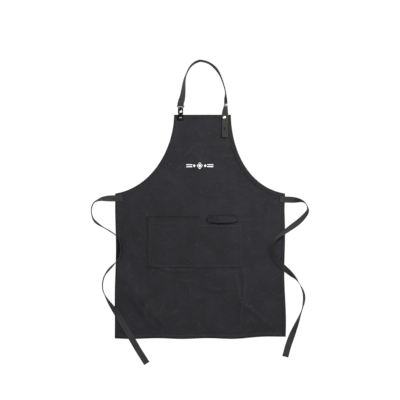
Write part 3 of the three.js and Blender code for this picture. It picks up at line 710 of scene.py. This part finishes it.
def rise(x, y):
    """How far the cloth's underside stands off the floor."""
    broad = 1.3 * MM * smooth(swell(x, y, 11, 0.16, 0.34), -0.9, 1.6)
    folds = 0.7 * MM * np.clip(1 - np.abs(swell(x, y, 23, 0.055, 0.13)), 0, 1) ** 3
    crumple = 0.2 * MM * np.clip(1 - 1.2 * np.abs(swell(x, y, 37, 0.022, 0.05)), 0, 1) ** 2
    fine = 0.05 * MM * swell(x, y, 41, 0.009, 0.016)
    height = broad + (folds + crumple) * (0.55 + 0.45 * smooth(swell(x, y, 53, 0.2, 0.4), -1, 1)) + fine
    for points, width, tall in CREASES:
        wander = 0.15 * width * swell(x, y, 61, 0.03, 0.07, count=10)
        d, place = from_line(x, y, points)
        fade = np.sin(math.pi * np.clip(place, 0.03, 0.97)) ** 0.5
        height = height + tall * fade * np.exp(-np.abs((d + wander) / width) ** 1.7)
    return np.maximum(height, 0)


def cloth_top(x, y):
    return rise(x, y) + CLOTH


def rubbed(x, y):
    """Wax rubbed pale along the ridges: where the cloth bends down on both sides."""
    step = 2.2 * MM
    around = rise(x + step, y) + rise(x - step, y) + rise(x, y + step) + rise(x, y - step)
    bend = (4 * rise(x, y) - around) / step**2
    return np.clip((bend - 18) / 90, 0, 1)


def edged(outline, reach, depth):
    """A function for the cloth's marks: rubbed creases, and the cloth darkened towards its edge by a depth
    given at each place, which is painted shade where it is used at the pocket's mouth and round the towel
    loop.
    """
    closed = closed_path(outline)

    def wear(x, y):
        distance, _ = from_line(x, y, closed)
        return rubbed(x, y) - depth(x, y) * (1 - smooth(distance, reach * 0.35, reach))
    return wear


# ================================ canvas ================================
def bezier(p0, p1, p2, p3, count):
    """Points of a cubic curve, without its last one."""
    t = np.linspace(0, 1, count, endpoint=False)[:, None]
    p0, p1, p2, p3 = (np.array(p) for p in (p0, p1, p2, p3))
    return p0 * (1 - t)**3 + 3 * p1 * t * (1 - t)**2 + 3 * p2 * t**2 * (1 - t) + p3 * t**3


def apron_outline(margin):
    """The apron's edge, brought inwards by the margin, with the hem's slow wave."""
    side, top, bib = SIDE - margin, BIB_TOP - margin, BIB_WIDTH / 2 - margin
    waist = BIB_TOP - ARMHOLE_DROP - margin
    bow, turn = ARMHOLE_DROP * 0.37, (side - bib) * 0.715
    right = bezier((side, waist), (side - turn, waist + 0.027),
                   (BIB_SHIFT + bib, top - bow), (BIB_SHIFT + bib, top), 70)
    right = np.vstack([right, [(BIB_SHIFT + bib, top)]])
    left = bezier((BIB_SHIFT - bib, top), (BIB_SHIFT - bib, top - bow),
                  (turn - side, waist + 0.027), (-side, waist), 70)
    corners = np.vstack([[(-side, HEM + margin), (side, HEM + margin)], right, left, [(-side, waist)]])
    loop = resample(corners, 5 * MM)
    x, y = loop[:, 0], loop[:, 1]
    low = smooth(-y, -HEM - 0.15, -HEM)
    lifted = 9 * MM * smooth(x, 0.12, 0.33) + 1.5 * MM * (1 + np.sin(x * 31 + 0.6))
    narrowed = 1.6 * MM * (1 + np.sin(y * 19 + x * 3)) * smooth(waist - y, 0, 0.08) * np.sign(x)
    flared = 4.5 * MM * smooth(-y, -HEM - 0.3, -HEM) * np.sign(x)
    inner = np.abs(x) > side - 0.002
    return np.column_stack([x - (narrowed - flared) * inner, y + low * lifted])


def make_canvas():
    seam, fold = SEAM / MM, HEM_WIDTH / MM
    loops = loops_in(apron_outline, (0, 0.2, 0.7), (0.5, 0.85, seam), (1.3, 1, 0.85), (5, 1, 0.75),
                     (9, 1, seam), (fold - 0.9, 1, 0.75), (fold, 1, 0.05), (fold + 3, 1, 0))
    # The hem is darker towards the apron's edge, most along the bib's top.
    hem = edged(loops[0][0], 7 * MM, lambda x, y: 0.35 + 0.5 * smooth(y, BIB_TOP - 0.03, BIB_TOP - 0.008))
    band = band_outline(-1 * MM)
    mouth = [(POCKET_LOW[0], POCKET_HIGH[1] - 6 * MM), (POCKET_LOW[0] + 4 * MM, POCKET_HIGH[1] + 0.5 * MM),
             (POCKET_DIVIDER, POCKET_HIGH[1] + 0.5 * MM)]

    # Painted shade: the canvas darkened round the towel loop and above the pocket's mouth, where the loop and
    # the pocket stand off it, on top of the hem's marks.
    def marked_and_shaded(x, y):
        beside, _ = from_line(x, y, closed_path(band))
        above, _ = from_line(x, y, mouth)
        return hem(x, y) - 0.9 * (1 - smooth(np.minimum(beside, above), 1.5 * MM, 5 * MM))

    canvas = panel("canvas_cloth", loops, [], 6 * MM, rise, level(CLOTH), CANVAS, marked_and_shaded)
    settle(canvas, "root", "canvas", "canvas_body")
    return canvas


def stitches(name, path, surface, pitch=3.4 * MM, length=2.5 * MM, width=0.62 * MM, body="root"):
    """A row of separate lockstitches along a path in x and y, lying on the surface."""
    path = np.asarray(path, dtype=float)
    runs = np.concatenate([[0], np.cumsum(np.linalg.norm(np.diff(path, axis=0), axis=1))])
    starts = np.arange(0, runs[-1] - length, pitch)
    ends = [np.column_stack([np.interp(starts + s, runs, path[:, k]) for k in (0, 1)]) for s in (0, length)]
    rings, sides = 5, 6
    verts, faces = [], []
    for a, b in zip(*ends):
        along = (b - a) / max(float(np.linalg.norm(b - a)), 1e-9)
        side = np.array((-along[1], along[0]))
        spots = np.array([a + (b - a) * i / (rings - 1) for i in range(rings)])
        z = surface(spots[:, 0], spots[:, 1])
        first = len(verts)
        for i in range(rings):
            full = math.sin(math.pi * (0.08 + 0.84 * i / (rings - 1)))
            for k in range(sides):
                angle = 2 * math.pi * k / sides
                spread = width / 2 * full * math.cos(angle)
                height = width * 0.42 * full * math.sin(angle)
                verts.append((*(spots[i] + side * spread), z[i] + height))
        faces += tube_faces(rings, sides, first)
    settle(mesh_object(name, verts, faces, THREAD), body, "thread")


def make_hem_stitching():
    """One row at the hem's fold all round, and one along the edge from the waist up."""
    inset = 2.4 * MM
    edge = apron_outline(inset)
    on_hem = lambda x, y: rise(x, y) + CLOTH + SEAM
    stitches("hem_stitching", closed_path(apron_outline(HEM_WIDTH - inset)), on_hem)
    bib = edge[edge[:, 1] > BIB_TOP - ARMHOLE_DROP - 0.004]
    stitches("bib_edge_stitching", bib, on_hem)


# ================================ pocket and towel loop ================================
def pocket_gap(x, y):
    """How far the pocket stands off the canvas: shut at its seams, slack towards its mouth."""
    mouth = np.where(x > POCKET_DIVIDER, POCKET_HIGH[1] - SMALL_MOUTH_DROP, POCKET_HIGH[1])
    total = np.zeros_like(x)
    for left, right in ((POCKET_LOW[0], POCKET_DIVIDER), (POCKET_DIVIDER, POCKET_HIGH[0])):
        t = np.clip((x - left) / (right - left), 0, 1)
        total = total + np.sin(math.pi * t) ** 0.7
    down = smooth(y, POCKET_LOW[1] + 0.006, mouth)
    slack = 0.35 + 0.65 * down
    seam = smooth(y - POCKET_LOW[1], 0.004, 0.035)
    return 0.12 * MM + 2.9 * MM * total * slack * seam


def pocket_outline(margin):
    """The pocket's edge, with a lower mouth to the right of its divider."""
    x0, x1 = POCKET_LOW[0] + margin, POCKET_HIGH[0] - margin
    y0, y1 = POCKET_LOW[1] + margin, POCKET_HIGH[1] - margin
    step = y1 - SMALL_MOUTH_DROP
    divider = POCKET_DIVIDER + 4 * MM - margin
    r = 7 * MM
    loop = [(x0 + r, y0), (x1 - r, y0), (x1 - r * 0.3, y0 + r * 0.3), (x1, y0 + r), (x1, step),
            (divider, step), (divider, y1), (x0, y1), (x0, y0 + r), (x0 + r * 0.3, y0 + r * 0.3)]
    return resample(loop, 4.5 * MM)


def make_pocket():
    under = lambda x, y: cloth_top(x, y) + pocket_gap(x, y)
    loops = loops_in(pocket_outline, (0, 0.3, 0.1), (0.6, 1, 0.3), (9, 1, 0.3), (10, 1, 0))
    # Painted shade at the pocket's mouth: its top edge darkened.
    at_mouth = lambda x, y: 0.9 * smooth(y, POCKET_HIGH[1] - 0.012, POCKET_HIGH[1] - 0.006)
    marked_and_shaded = edged(loops[0][0], 5 * MM, at_mouth)
    pocket = panel("pocket_cloth", loops, [], 5.5 * MM, under, level(CLOTH), CANVAS, marked_and_shaded)
    settle(pocket, "root", "canvas", "pocket_panel")
    top = lambda x, y: under(x, y) + CLOTH + 0.25 * MM
    plain = lambda x, y: under(x, y) + CLOTH
    for number, margin in enumerate((2.2 * MM, 7.6 * MM)):
        stitches(f"pocket_stitching_{number + 1}", closed_path(pocket_outline(margin)), top)
        x = POCKET_DIVIDER - 2.7 * MM + number * 5.4 * MM
        high = POCKET_HIGH[1] - SMALL_MOUTH_DROP * number
        stitches(f"divider_stitching_{number + 1}", [(x, POCKET_LOW[1] + 9 * MM), (x, high - 9 * MM)], plain)


def band_gap(x, y):
    """How far the towel loop stands off the canvas, from one sewn end to the other."""
    t = np.clip((x - BAND_LOW[0] - 9 * MM) / (BAND_HIGH[0] - BAND_LOW[0] - 18 * MM), 0, 1)
    return 0.12 * MM + 6.5 * MM * np.sin(math.pi * t) ** 0.8


def band_outline(margin):
    """The towel loop's edge seen from the front, a little fuller in the middle where it bows up."""
    x0, x1 = BAND_LOW[0] + margin, BAND_HIGH[0] - margin
    y0, y1 = BAND_LOW[1] + margin, BAND_HIGH[1] - margin
    loop = resample(rounded_loop(x0, x1, y0, y1, max(11 * MM - margin, 1 * MM)), 3 * MM)
    along = np.clip((loop[:, 0] - x0) / (x1 - x0), 0, 1)
    bow = 3 * MM * (np.sin(math.pi * along) ** 2 - 0.6)
    return np.column_stack([loop[:, 0], loop[:, 1] + np.sign(loop[:, 1] - (y0 + y1) / 2) * bow])


def make_towel_loop():
    thick = CLOTH + 1 * MM
    under = lambda x, y: cloth_top(x, y) + band_gap(x, y)
    loops = loops_in(band_outline, (0, 0.3, 0), (0.6, 1, 0), (1.4, 1, 0), (4, 1, 0))
    # Painted shade: the loop's edges darkened all round, where it stands off the canvas.
    marked_and_shaded = edged(loops[0][0], 5 * MM, level(1.0))
    band = panel("towel_band", loops, [], 3.2 * MM, under, level(thick), CANVAS, marked_and_shaded)
    settle(band, "root", "canvas", "towel_loop")
    top = lambda x, y: under(x, y) + thick
    stitches("towel_band_stitching", closed_path(band_outline(2.6 * MM)), top)
    for number, x in enumerate((BAND_LOW[0] + 5 * MM, BAND_HIGH[0] - 5 * MM)):
        zigzag(f"towel_band_bartack_{number + 1}", x, BAND_LOW[1] + 3 * MM, BAND_HIGH[1] - 3 * MM, top)


def zigzag(name, x, y0, y1, surface):
    """A bar-tack: close zigzag thread across a seam's end, running in y."""
    half, pitch = 1.3 * MM, 0.7 * MM
    count = max(8, int((y1 - y0) / pitch))
    spots = np.array([(x + (half if i % 2 else -half), y0 + (y1 - y0) * i / count) for i in range(count + 1)])
    heights = surface(spots[:, 0], spots[:, 1]) + 0.1 * MM
    centres = np.column_stack([spots, heights])
    up = np.tile((0.0, 0.0, 1.0), (len(centres), 1))
    across = np.cross(up, unit(np.gradient(centres, axis=0)))
    thread = sweep(name, centres, across, up, ellipse_section(0.36 * MM, 0.3 * MM, 6), THREAD)
    settle(thread, "root", "thread")
    return thread


# ================================ bands ================================
def band_frames(route, count, width, thickness, ground=None):
    """Centres, across and out vectors of a band on its route, lifted where it would cut the ground."""
    rows = spline(route, count)
    plan, base, roll = rows[:, :2], np.maximum(rows[:, 2], 0), np.radians(np.maximum(rows[:, 3], 0))
    share = rows[:, 4] if rows.shape[1] > 4 else np.ones(count)
    along = unit(np.gradient(plan, axis=0))
    left = np.column_stack([-along[:, 1], along[:, 0]])
    if ground is not None:
        reach = [plan + left * (s * width / 2) * np.cos(roll)[:, None] for s in (-1, -0.5, 0, 0.5, 1)]
        floor = np.max([ground(p) for p in reach], axis=0)
        kernel = np.hanning(9) / np.hanning(9).sum()
        soft = np.convolve(np.pad(floor, 4, mode="edge"), kernel, mode="valid")
        base = np.maximum(base, np.maximum(soft, floor))
    across = np.column_stack([left * np.cos(roll)[:, None], np.sin(roll)])
    heading = np.column_stack([along, np.zeros(len(along))])
    out = np.cross(heading, across)
    height = base + width / 2 * share * np.sin(roll) + thickness / 2 * np.cos(roll)
    centres = np.column_stack([plan, height])
    return centres, across * share[:, None], out


def tape_section(width, thickness, count=14):
    """A flat section with round selvedges that are a little thicker than the middle."""
    w, t = width / 2, thickness / 2
    xs = [w * math.cos(math.pi * i / count) for i in range(count + 1)]
    top = [(x, t * (0.84 + 0.16 * abs(x / w) ** 6) * min(1, (1 - abs(x / w)) * 14 + 0.25)) for x in xs]
    bottom = [(-x, -y) for x, y in top]
    return np.array(top + bottom)


def on_apron(points):
    """The height that a tie must clear: the hem's top over the apron, and the floor elsewhere."""
    over = inside(points, TIE_KEEP_OUT)
    return np.where(over, rise(points[:, 0], points[:, 1]) + CLOTH + 0.85 * MM + TIE_GAP, 0)


TIE_KEEP_OUT = apron_outline(-2 * MM)


def make_tie(side, route):
    """A waist tie on its route; it returns its centre line."""
    centres, across, out = band_frames(route, 260, STRAP_WIDTH, TAPE, on_apron)
    ripple = 0.5 * MM * swell(centres[:, 0], centres[:, 1], 71, 0.05, 0.12, count=10)
    far = smooth(np.arange(len(centres)), 20, 50)
    flat = np.abs(out[:, 2])
    centres = centres + np.array((0, 0, 1.0)) * (np.abs(ripple) * far * flat)[:, None]
    tie = sweep(f"{side}_tie_tape", centres, across, out, tape_section(STRAP_WIDTH, TAPE), TIE_TAPE)
    settle(tie, "root", "tie_tape", f"{side}_tie")
    length = float(np.linalg.norm(np.diff(centres, axis=0), axis=1).sum())
    tuple(centres[0])
    return centres


def make_tie_stitching(side, centres):
    """The square of stitches and the bar-tack that hold a tie to the waist corner."""
    start, ahead = centres[0][:2], centres[12][:2]
    along = (ahead - start) / np.linalg.norm(ahead - start)
    left = np.array((-along[1], along[0]))
    top = level(centres[0][2] + TAPE / 2)
    w, near, far = STRAP_WIDTH / 2 - 2.4 * MM, 2 * MM, 22 * MM
    square = ((near, -w), (far, -w), (far, w), (near, w), (near, -w), (far, w))
    stitches(f"{side}_tie_stitching", [start + along * a + left * b for a, b in square], top)
    tack_x = start[0] - np.sign(start[0]) * 0.5 * MM
    tack = zigzag(f"{side}_tie_bartack", tack_x, start[1] - w, start[1] + w, top)
    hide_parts(f"{side}_bartack")


def make_webbing():
    """The neck webbing and its end folded round the eye's upper bar."""
    bar_y, bar_z = EYE_HIGH[1] - BAR, FOLD[2]
    route = [(x, y + BIB_TOP, *stance) for x, y, *stance in NECK_ROUTE]
    centres, across, _ = band_frames(route, 240, STRAP_WIDTH, WEBBING)
    r = BAR + WEBBING / 2 + 0.55 * MM
    angles = np.radians(np.linspace(268, 96, 22))
    pulled = 1.5 * MM * np.clip(-np.cos(angles), 0, 1)
    fold = [(HOOK_X, bar_y + r * math.cos(a) - p, bar_z + r * math.sin(a)) for a, p in zip(angles, pulled)]
    tail = [(HOOK_X + aside * MM, bar_y + d * MM, bar_z - r) for d, aside in ((21, 3.4), (15, 2.2), (8, 0.8))]
    rise_back = [(HOOK_X, bar_y + 5 * MM, bar_z + r - 1.2 * MM)]
    cut, turning = 8, 8
    lead = spline(np.vstack([tail, fold, rise_back, centres[cut - 2:cut + 1]]), 120)[:-1]
    whole = np.vstack([lead, centres[cut + 1:]])
    folded = np.array((-1.0, 0, 0))
    width = np.vstack([np.tile(folded, (len(lead), 1)), across[cut + 1:]])
    t = (np.arange(turning) / turning)[:, None]
    width[len(lead) - turning:len(lead)] = unit((1 - t) * folded + t * across[cut])
    share = np.linalg.norm(width, axis=1, keepdims=True)
    along = unit(np.gradient(whole, axis=0))
    side = unit(width - along * np.sum(width * along, axis=1, keepdims=True))
    section = tape_section(STRAP_WIDTH, WEBBING)
    strap = sweep("neck_strap_webbing", whole, side * share, np.cross(along, side), section, STRAPPING)
    settle(strap, "neck_loop", "webbing", "neck_webbing")
    upper = slice(len(lead) - 30, len(lead) + 40)
    order = np.argsort(whole[upper, 1])
    line, tilt = whole[upper][order], -(side[upper][order][:, 2] / side[upper][order][:, 0])

    def on_strap(x, y):
        centre_x, centre_z, lean = (np.interp(y, line[:, 1], v) for v in (line[:, 0], line[:, 2], tilt))
        return centre_z - (x - centre_x) * lean + WEBBING / 2

    w = STRAP_WIDTH / 2 - 3 * MM
    for number, d in enumerate((6.5 * MM, 9.5 * MM, 17 * MM)):
        x = float(np.interp(bar_y + d, line[:, 1], line[:, 0]))
        row = [(x - w, bar_y + d), (x + w, bar_y + d)]
        stitches(f"webbing_stitching_{number + 1}", row, on_strap, body="neck_loop")


# ================================ leather ================================
def make_adjuster():
    """One leather strap from the copper rivet to its tail, its tail lifted off the canvas."""
    tail, end = LOWER_LOW[1], UPPER_HIGH[1]
    half = (LOWER_HIGH[0] - LOWER_LOW[0]) / 2
    thick = LOWER_HIGH[2] - LOWER_LOW[2]
    base = LOWER_LOW[2]
    tip_x, tip_r = middle(COPPER_LOW, COPPER_HIGH)[0], 7 * MM

    def outline(m):
        w, corner = half - m, 1.5 * MM
        low, nick = tail + m, corner * 0.3
        loop = [(STRAP_X - w, low + corner), (STRAP_X - w + nick, low + nick), (STRAP_X - w + corner, low),
                (STRAP_X + w - corner, low), (STRAP_X + w - nick, low + nick), (STRAP_X + w, low + corner),
                (STRAP_X + w, UPPER_LOW[1])]
        loop += arc(tip_x, end - tip_r, tip_r - m, 0, 180, 11)
        loop += [(STRAP_X - w, UPPER_LOW[1])]
        return resample(loop, 2 * MM)

    def keyhole(y, grow):
        r, slit, reach = 2.8 * MM + grow, 0.5 * MM + grow, 9 * MM + grow
        turn = [(STUD_X + r * math.sin(a), y - r * math.cos(a)) for a in np.linspace(-2.75, 2.75, 16)]
        return np.array(turn + [(STUD_X + slit, y + r), (STUD_X + slit, y + reach),
                                (STUD_X - slit, y + reach), (STUD_X - slit, y + r)])

    holes = [[(keyhole(y, 0), 0.5, 0), (keyhole(y, 0.5 * MM), 1, 0)] for y in (STUD_Y, STUD_Y - HOLE_PITCH)]
    loops = loops_in(outline, (0, 0.3, 0), (0.35, 0.75, 0), (0.9, 1, 0), (2, 1, -0.15), (3, 1, 0))

    def under(x, y):
        aside = np.clip((x - STRAP_X + half) / (2 * half), 0, 1)
        lift = (1.5 * MM + 4.5 * MM * aside) * smooth(tail + 0.03 - y, 0, 0.03)
        return np.full_like(x, base) + lift + 0.15 * MM * (1 + swell(x, y, 83, 0.03, 0.07, count=8)) * 0.5

    strap = panel("adjuster_strap", loops, holes, 2.2 * MM, under, level(thick - 0.2 * MM), HIDE)
    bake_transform(strap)
    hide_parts("adjuster_lower", "adjuster_upper")


def make_tab():
    """The leather tab: down the bib, round the hook's bar and back over itself."""
    thick = 1.4 * MM
    r = 3.7 * MM
    low_z = TAB_LOW[2] + thick / 2
    high_z = low_z + thick + 0.25 * MM
    reach = TAB_LOW[1]
    stops = [(reach, low_z), (reach + 8 * MM, low_z), (FOLD[1] - 6 * MM, low_z)]
    stops += arc(FOLD[1], FOLD[2], r, -88, 92, 16)
    stops += [(FOLD[1] - 4 * MM, FOLD[2] + r * 0.5), (BIB_TOP - 7 * MM, high_z + 0.3 * MM),
              (BIB_TOP - 12 * MM, high_z), (reach, high_z)]
    path = spline(stops, 110)
    centres = np.column_stack([np.full(len(path), HOOK_X), path])
    wide, neck = (TAB_HIGH[0] - TAB_LOW[0]) / 2, 4.2 * MM
    narrow = smooth(path[:, 0], BIB_TOP + 0.2 * MM, BIB_TOP + 2.6 * MM)
    half = wide + (neck - wide) * narrow
    across = np.tile((1.0, 0, 0), (len(path), 1))
    out = np.cross(unit(np.gradient(centres, axis=0)), across)
    tab = sweep("leather_tab", centres, across * half[:, None], out, tape_section(2, thick, 12), TAB_HIDE)
    settle(tab, "root", "leather", "hook_tab")
    w, high, low = wide - 2 * MM, BIB_TOP - 10 * MM, reach + 2 * MM
    edge = [(HOOK_X - w, high), (HOOK_X - w, low), (HOOK_X + w, low), (HOOK_X + w, high)]
    stitches("tab_stitching", edge, level(high_z + thick / 2), pitch=2.8 * MM, length=2.0 * MM)


# ================================ metal ================================
def bar_ring(name, points, radius, material):
    """A round bar along a closed loop in x and y, at the fold's height."""
    path = spline(closed_path(points), len(points) * 3 + 1)[:-1]
    centres = np.column_stack([path, np.full(len(path), FOLD[2])])
    ahead = unit(np.roll(centres, -1, axis=0) - np.roll(centres, 1, axis=0))
    up = np.tile((0, 0, 1.0), (len(centres), 1))
    section = ellipse_section(radius, radius, 20)
    return sweep(name, centres, np.cross(up, ahead), up, section, material, closed=True)


def turned(name, profile, place, material, **settings):
    """A lathe-turned piece from a profile in millimetres."""
    return lathe(name, [(r * MM, h * MM) for r, h in profile], place, material, **settings)


def make_eye():
    """The swivel eye: a bright ring for the webbing, and a black post peened over at its foot."""
    low, foot = EYE_HIGH[1] - 11.9 * MM, EYE_LOW[1]
    loop = rounded_loop(EYE_LOW[0] + BAR, EYE_HIGH[0] - BAR, low + BAR, EYE_HIGH[1] - BAR, 3 * MM)
    ring = bar_ring("eye_ring", loop, BAR, NICKEL)
    tall = (low - foot) / MM
    head = [(0.4, 0), (2.2, 0.1), (2.75, 0.6), (2.75, 1.3), (2.1, 1.6), (2, 2.2)]
    neck = [(2, tall - 0.8), (3, tall - 0.3), (3.3, tall + 0.8), (2.4, tall + 2)]
    post = turned("eye_post", head + neck, (HOOK_X, foot, FOLD[2]), BLACK_NICKEL, axis="Y")
    settle(post, "neck_loop", "black_nickel")
    settle(ring, "neck_loop", "nickel", "swivel_eye")


def plate(name, loop, low, high, material):
    """A flat metal plate with its edges rounded over, from an outline in x and y."""
    loop = resample(loop, 1.1 * MM)
    rings = loops_in(lambda margin: shrunk(loop, margin),
                     (0, 0.45, 0), (0.25, 0.74, 0), (0.6, 0.94, 0), (0.95, 1, 0))
    return panel(name, rings, [], 1.3 * MM, level(low), level(high - low), material)


def make_claw():
    """The hook: a thick plate with a window for the tab, open at its right side where the gate shuts it."""
    wide = (CLAW_HIGH[0] - CLAW_LOW[0]) / 2
    tall, crown, r = 19.9 * MM, 8.2 * MM, 2.2 * MM
    pin_x, pin_y = PIN_X - HOOK_X, PIN_Y - FOLD[1]
    jaw, above, roof = GATE_LOW[1] - FOLD[1] - 0.3 * MM, pin_y + 2.7 * MM, tall - crown
    window, inner = wide - 7.2 * MM, wide - 6.2 * MM
    corner = lambda x, y, start: arc(x, y, r, start, start + 90, 7)
    from_bar = lambda loop: [(HOOK_X + x, FOLD[1] + y) for x, y in loop]
    loop = corner(-wide + r, -BAR + r, 180) + corner(wide - r, -BAR + r, 270)
    loop += [(wide, jaw), (window, jaw), (window - 0.6 * MM, BAR + 0.1 * MM), (-inner + 2 * MM, BAR),
             (-inner, 5.4 * MM), (-inner + 1.5 * MM, 7.4 * MM), (-inner + 1.6 * MM, roof - 2.4 * MM),
             (-inner + 3.6 * MM, roof), (window - 1.2 * MM, roof), (window - 0.6 * MM, above), (wide, above)]
    loop += corner(wide - r, tall - r, 0) + corner(-wide + r, tall - r, 90)
    hook = plate("claw_plate", from_bar(loop), FOLD[2] - BAR, FOLD[2] + BAR, BLACK_NICKEL)
    hub = turned("claw_hub", [(3.2, 0), (4.8, 0.4), (5, 1.4), (4.6, 2.4), (2.8, 2.8)],
                 (HOOK_X, FOLD[1] + tall - 1 * MM, FOLD[2]), BLACK_NICKEL, axis="Y")
    ear = [(pin_x + 2.6 * x, pin_y + 2.3 * y) for x, y in arc(0, 0, 1 * MM, 180, 360, 10)]
    ear += [(wide - 0.2 * MM, above + 0.4 * MM), (window + 0.2 * MM, above + 0.4 * MM)]
    cheeks = [plate(f"cheek_{i}", from_bar(ear), FOLD[2] + z, FOLD[2] + z + 0.75 * MM, BLACK_NICKEL)
              for i, z in enumerate((1 * MM, -1.75 * MM))]
    brow = from_bar(rounded_loop(-10 * MM, 10 * MM, tall - 3 * MM, tall + 2.9 * MM, 1.4 * MM))
    shoulder = plate("claw_shoulder", brow, FOLD[2] - 2.8 * MM, FOLD[2] + 2.8 * MM, BLACK_NICKEL)
    settle(joined("snap_hook_claw", hook, hub, shoulder, *cheeks), "claw", "black_nickel", "snap_claw")
    rivet = turned("gate_pivot", [(0.5, 0), (0.95, 0.15), (0.7, 0.3), (0.7, 3.7), (0.95, 3.85), (0.5, 4)],
                   (PIN_X, PIN_Y, FOLD[2] - 2 * MM), BLACK_NICKEL, segments=24)
    settle(rivet, "claw", "black_nickel", "gate_pin")


def make_gate():
    """The gate: a lever with round ends, thinned where it lies between the claw's cheeks."""
    x = middle(GATE_LOW, GATE_HIGH)[0]
    ys = np.linspace(GATE_LOW[1], GATE_HIGH[1] - 0.2 * MM, 14)
    steps = np.arange(len(ys))
    wide = 2.5 * MM * np.minimum(1, 0.72 + 0.1 * steps) * np.minimum(1, 0.6 + 0.2 * steps[::-1])
    deep = np.where(ys < PIN_Y - 2.4 * MM, 1.6 * MM, 0.8 * MM)
    centres = np.array([(x, y, FOLD[2]) for y in ys])
    across, out = np.outer(wide, (1.0, 0, 0)), np.outer(deep, (0, 0, 1.0))
    gate = sweep("gate_lever", centres, across, out, ellipse_section(1, 1, 20), BLACK_NICKEL)
    settle(gate, "gate", "black_nickel", "snap_gate")


def domed(name, low, high, body, node, material, slot):
    """A rivet: shank, flat seat and a soft dome."""
    r, rim = (high[0] - low[0]) / 2, 1.6 * MM
    seat = high[2] - low[2] - rim
    profile = [(0.6 * MM, 0), (1.5 * MM, 0.1 * MM), (1.6 * MM, 0.4 * MM), (1.6 * MM, seat), (r * 0.93, seat)]
    profile += [(r * math.cos(a), seat + rim * (0.22 + 0.78 * math.sin(a)))
                for a in np.linspace(0.02, math.pi / 2 - 0.1, 10)]
    piece = lathe(name, profile, (*middle(low, high), low[2]), material)
    settle(piece, body, slot, node)


def make_stud():
    """The brass stud: a foot on the canvas, a neck through the leather and a round knob."""
    r = (STUD_HIGH[0] - STUD_LOW[0]) / 2 / MM
    head = (STUD_HIGH[2] - STUD_LOW[2]) / MM - 5.4
    profile = [(1.9, 0), (4.8, 0.02), (5, 0.3), (4.8, 0.58), (2.8, 0.62), (2.5, 0.9), (2.5, head - 0.2),
               (3, head + 0.1)]
    profile += [(r * math.cos(a), head + 2.7 + 2.65 * math.sin(a))
                for a in np.linspace(-1.15, math.pi / 2 - 0.08, 20)]
    knob = turned("stud_knob", profile, (STUD_X, STUD_Y, STUD_LOW[2]), BRASS)
    settle(knob, "root", "brass", "adjuster_stud")


def make_print():
    """A plain printed ornament on the chest: a diamond in a frame between pairs of bars."""
    x0, y0, step, spread = -1.5 * MM, 137 * MM, 1.6 * MM, 1.3 * MM
    half_long, half_wide = 12 * MM, 1.6 * MM

    def bar(x, y):
        left, right, low, high = x - half_long, x + half_long, y - half_wide, y + half_wide
        return resample([(left, low), (right, low), (right, high), (left, high)], step)

    def diamond(x, r):
        return resample([(x, y0 - r), (x + r * 0.85, y0), (x, y0 + r), (x - r * 0.85, y0)], step)

    def printed(name, edge, lift, film, ink, holes=()):
        under = lambda x, y: cloth_top(x, y) + lift
        return panel(name, [(edge, 0.6, 0)], holes, step, under, level(film), ink)

    shapes = [diamond(x0, 7 * MM), diamond(x0 - 22 * MM, 6 * MM), diamond(x0 + 22 * MM, 6 * MM)]
    shapes += [bar(x0 + s * 42 * MM, y0 + d) for s in (-1, 1) for d in (-4 * MM, 4 * MM)]
    outer, opening = diamond(x0, 14 * MM), diamond(x0, 11 * MM)
    lift, film = 0.05 * MM, 0.1 * MM
    marks = [printed(f"mark_{i}", s, lift, film, INK) for i, s in enumerate(shapes)]
    backs = [printed(f"back_{i}", shrunk(s, -spread), 0.02 * MM, 0.05 * MM, DARK_INK)
             for i, s in enumerate(shapes + [outer])]
    settle(joined("chest_print_shadow", *backs), "root", "thread")
    marks.append(printed("mark_frame", outer, lift, film, INK, holes=[[(opening, 0.6, 0)]]))
    settle(joined("chest_print", *marks), "root", "thread")


def dress(node, material):
    """Give a carried-over CAD node its procedural material."""
    for place in frame["nodes"][node].material_slots:
        place.material = material


add_camera()
add_stage()
left_centres = make_tie("left", LEFT_TIE_ROUTE)
right_centres = make_tie("right", RIGHT_TIE_ROUTE)
make_tie_stitching("left", left_centres)
make_tie_stitching("right", right_centres)
canvas = make_canvas()
make_hem_stitching()
make_pocket()
make_towel_loop()
make_webbing()
make_adjuster()
make_tab()
make_eye()
make_claw()
make_gate()
domed("copper_rivet_head", COPPER_LOW, COPPER_HIGH, "neck_loop", "copper_rivet", COPPER, "copper")
domed("tab_rivet_head", RIVET_LOW, RIVET_HIGH, "root", "tab_rivet", PEWTER, "black_nickel")
make_stud()
make_print()
for node, material in (("tab_burr", BLACK_NICKEL), ("copper_burr", COPPER), ("stud_screw", BRASS),
                       ("gate_spring", NICKEL)):
    dress(node, material)

edge = apron_outline(0)
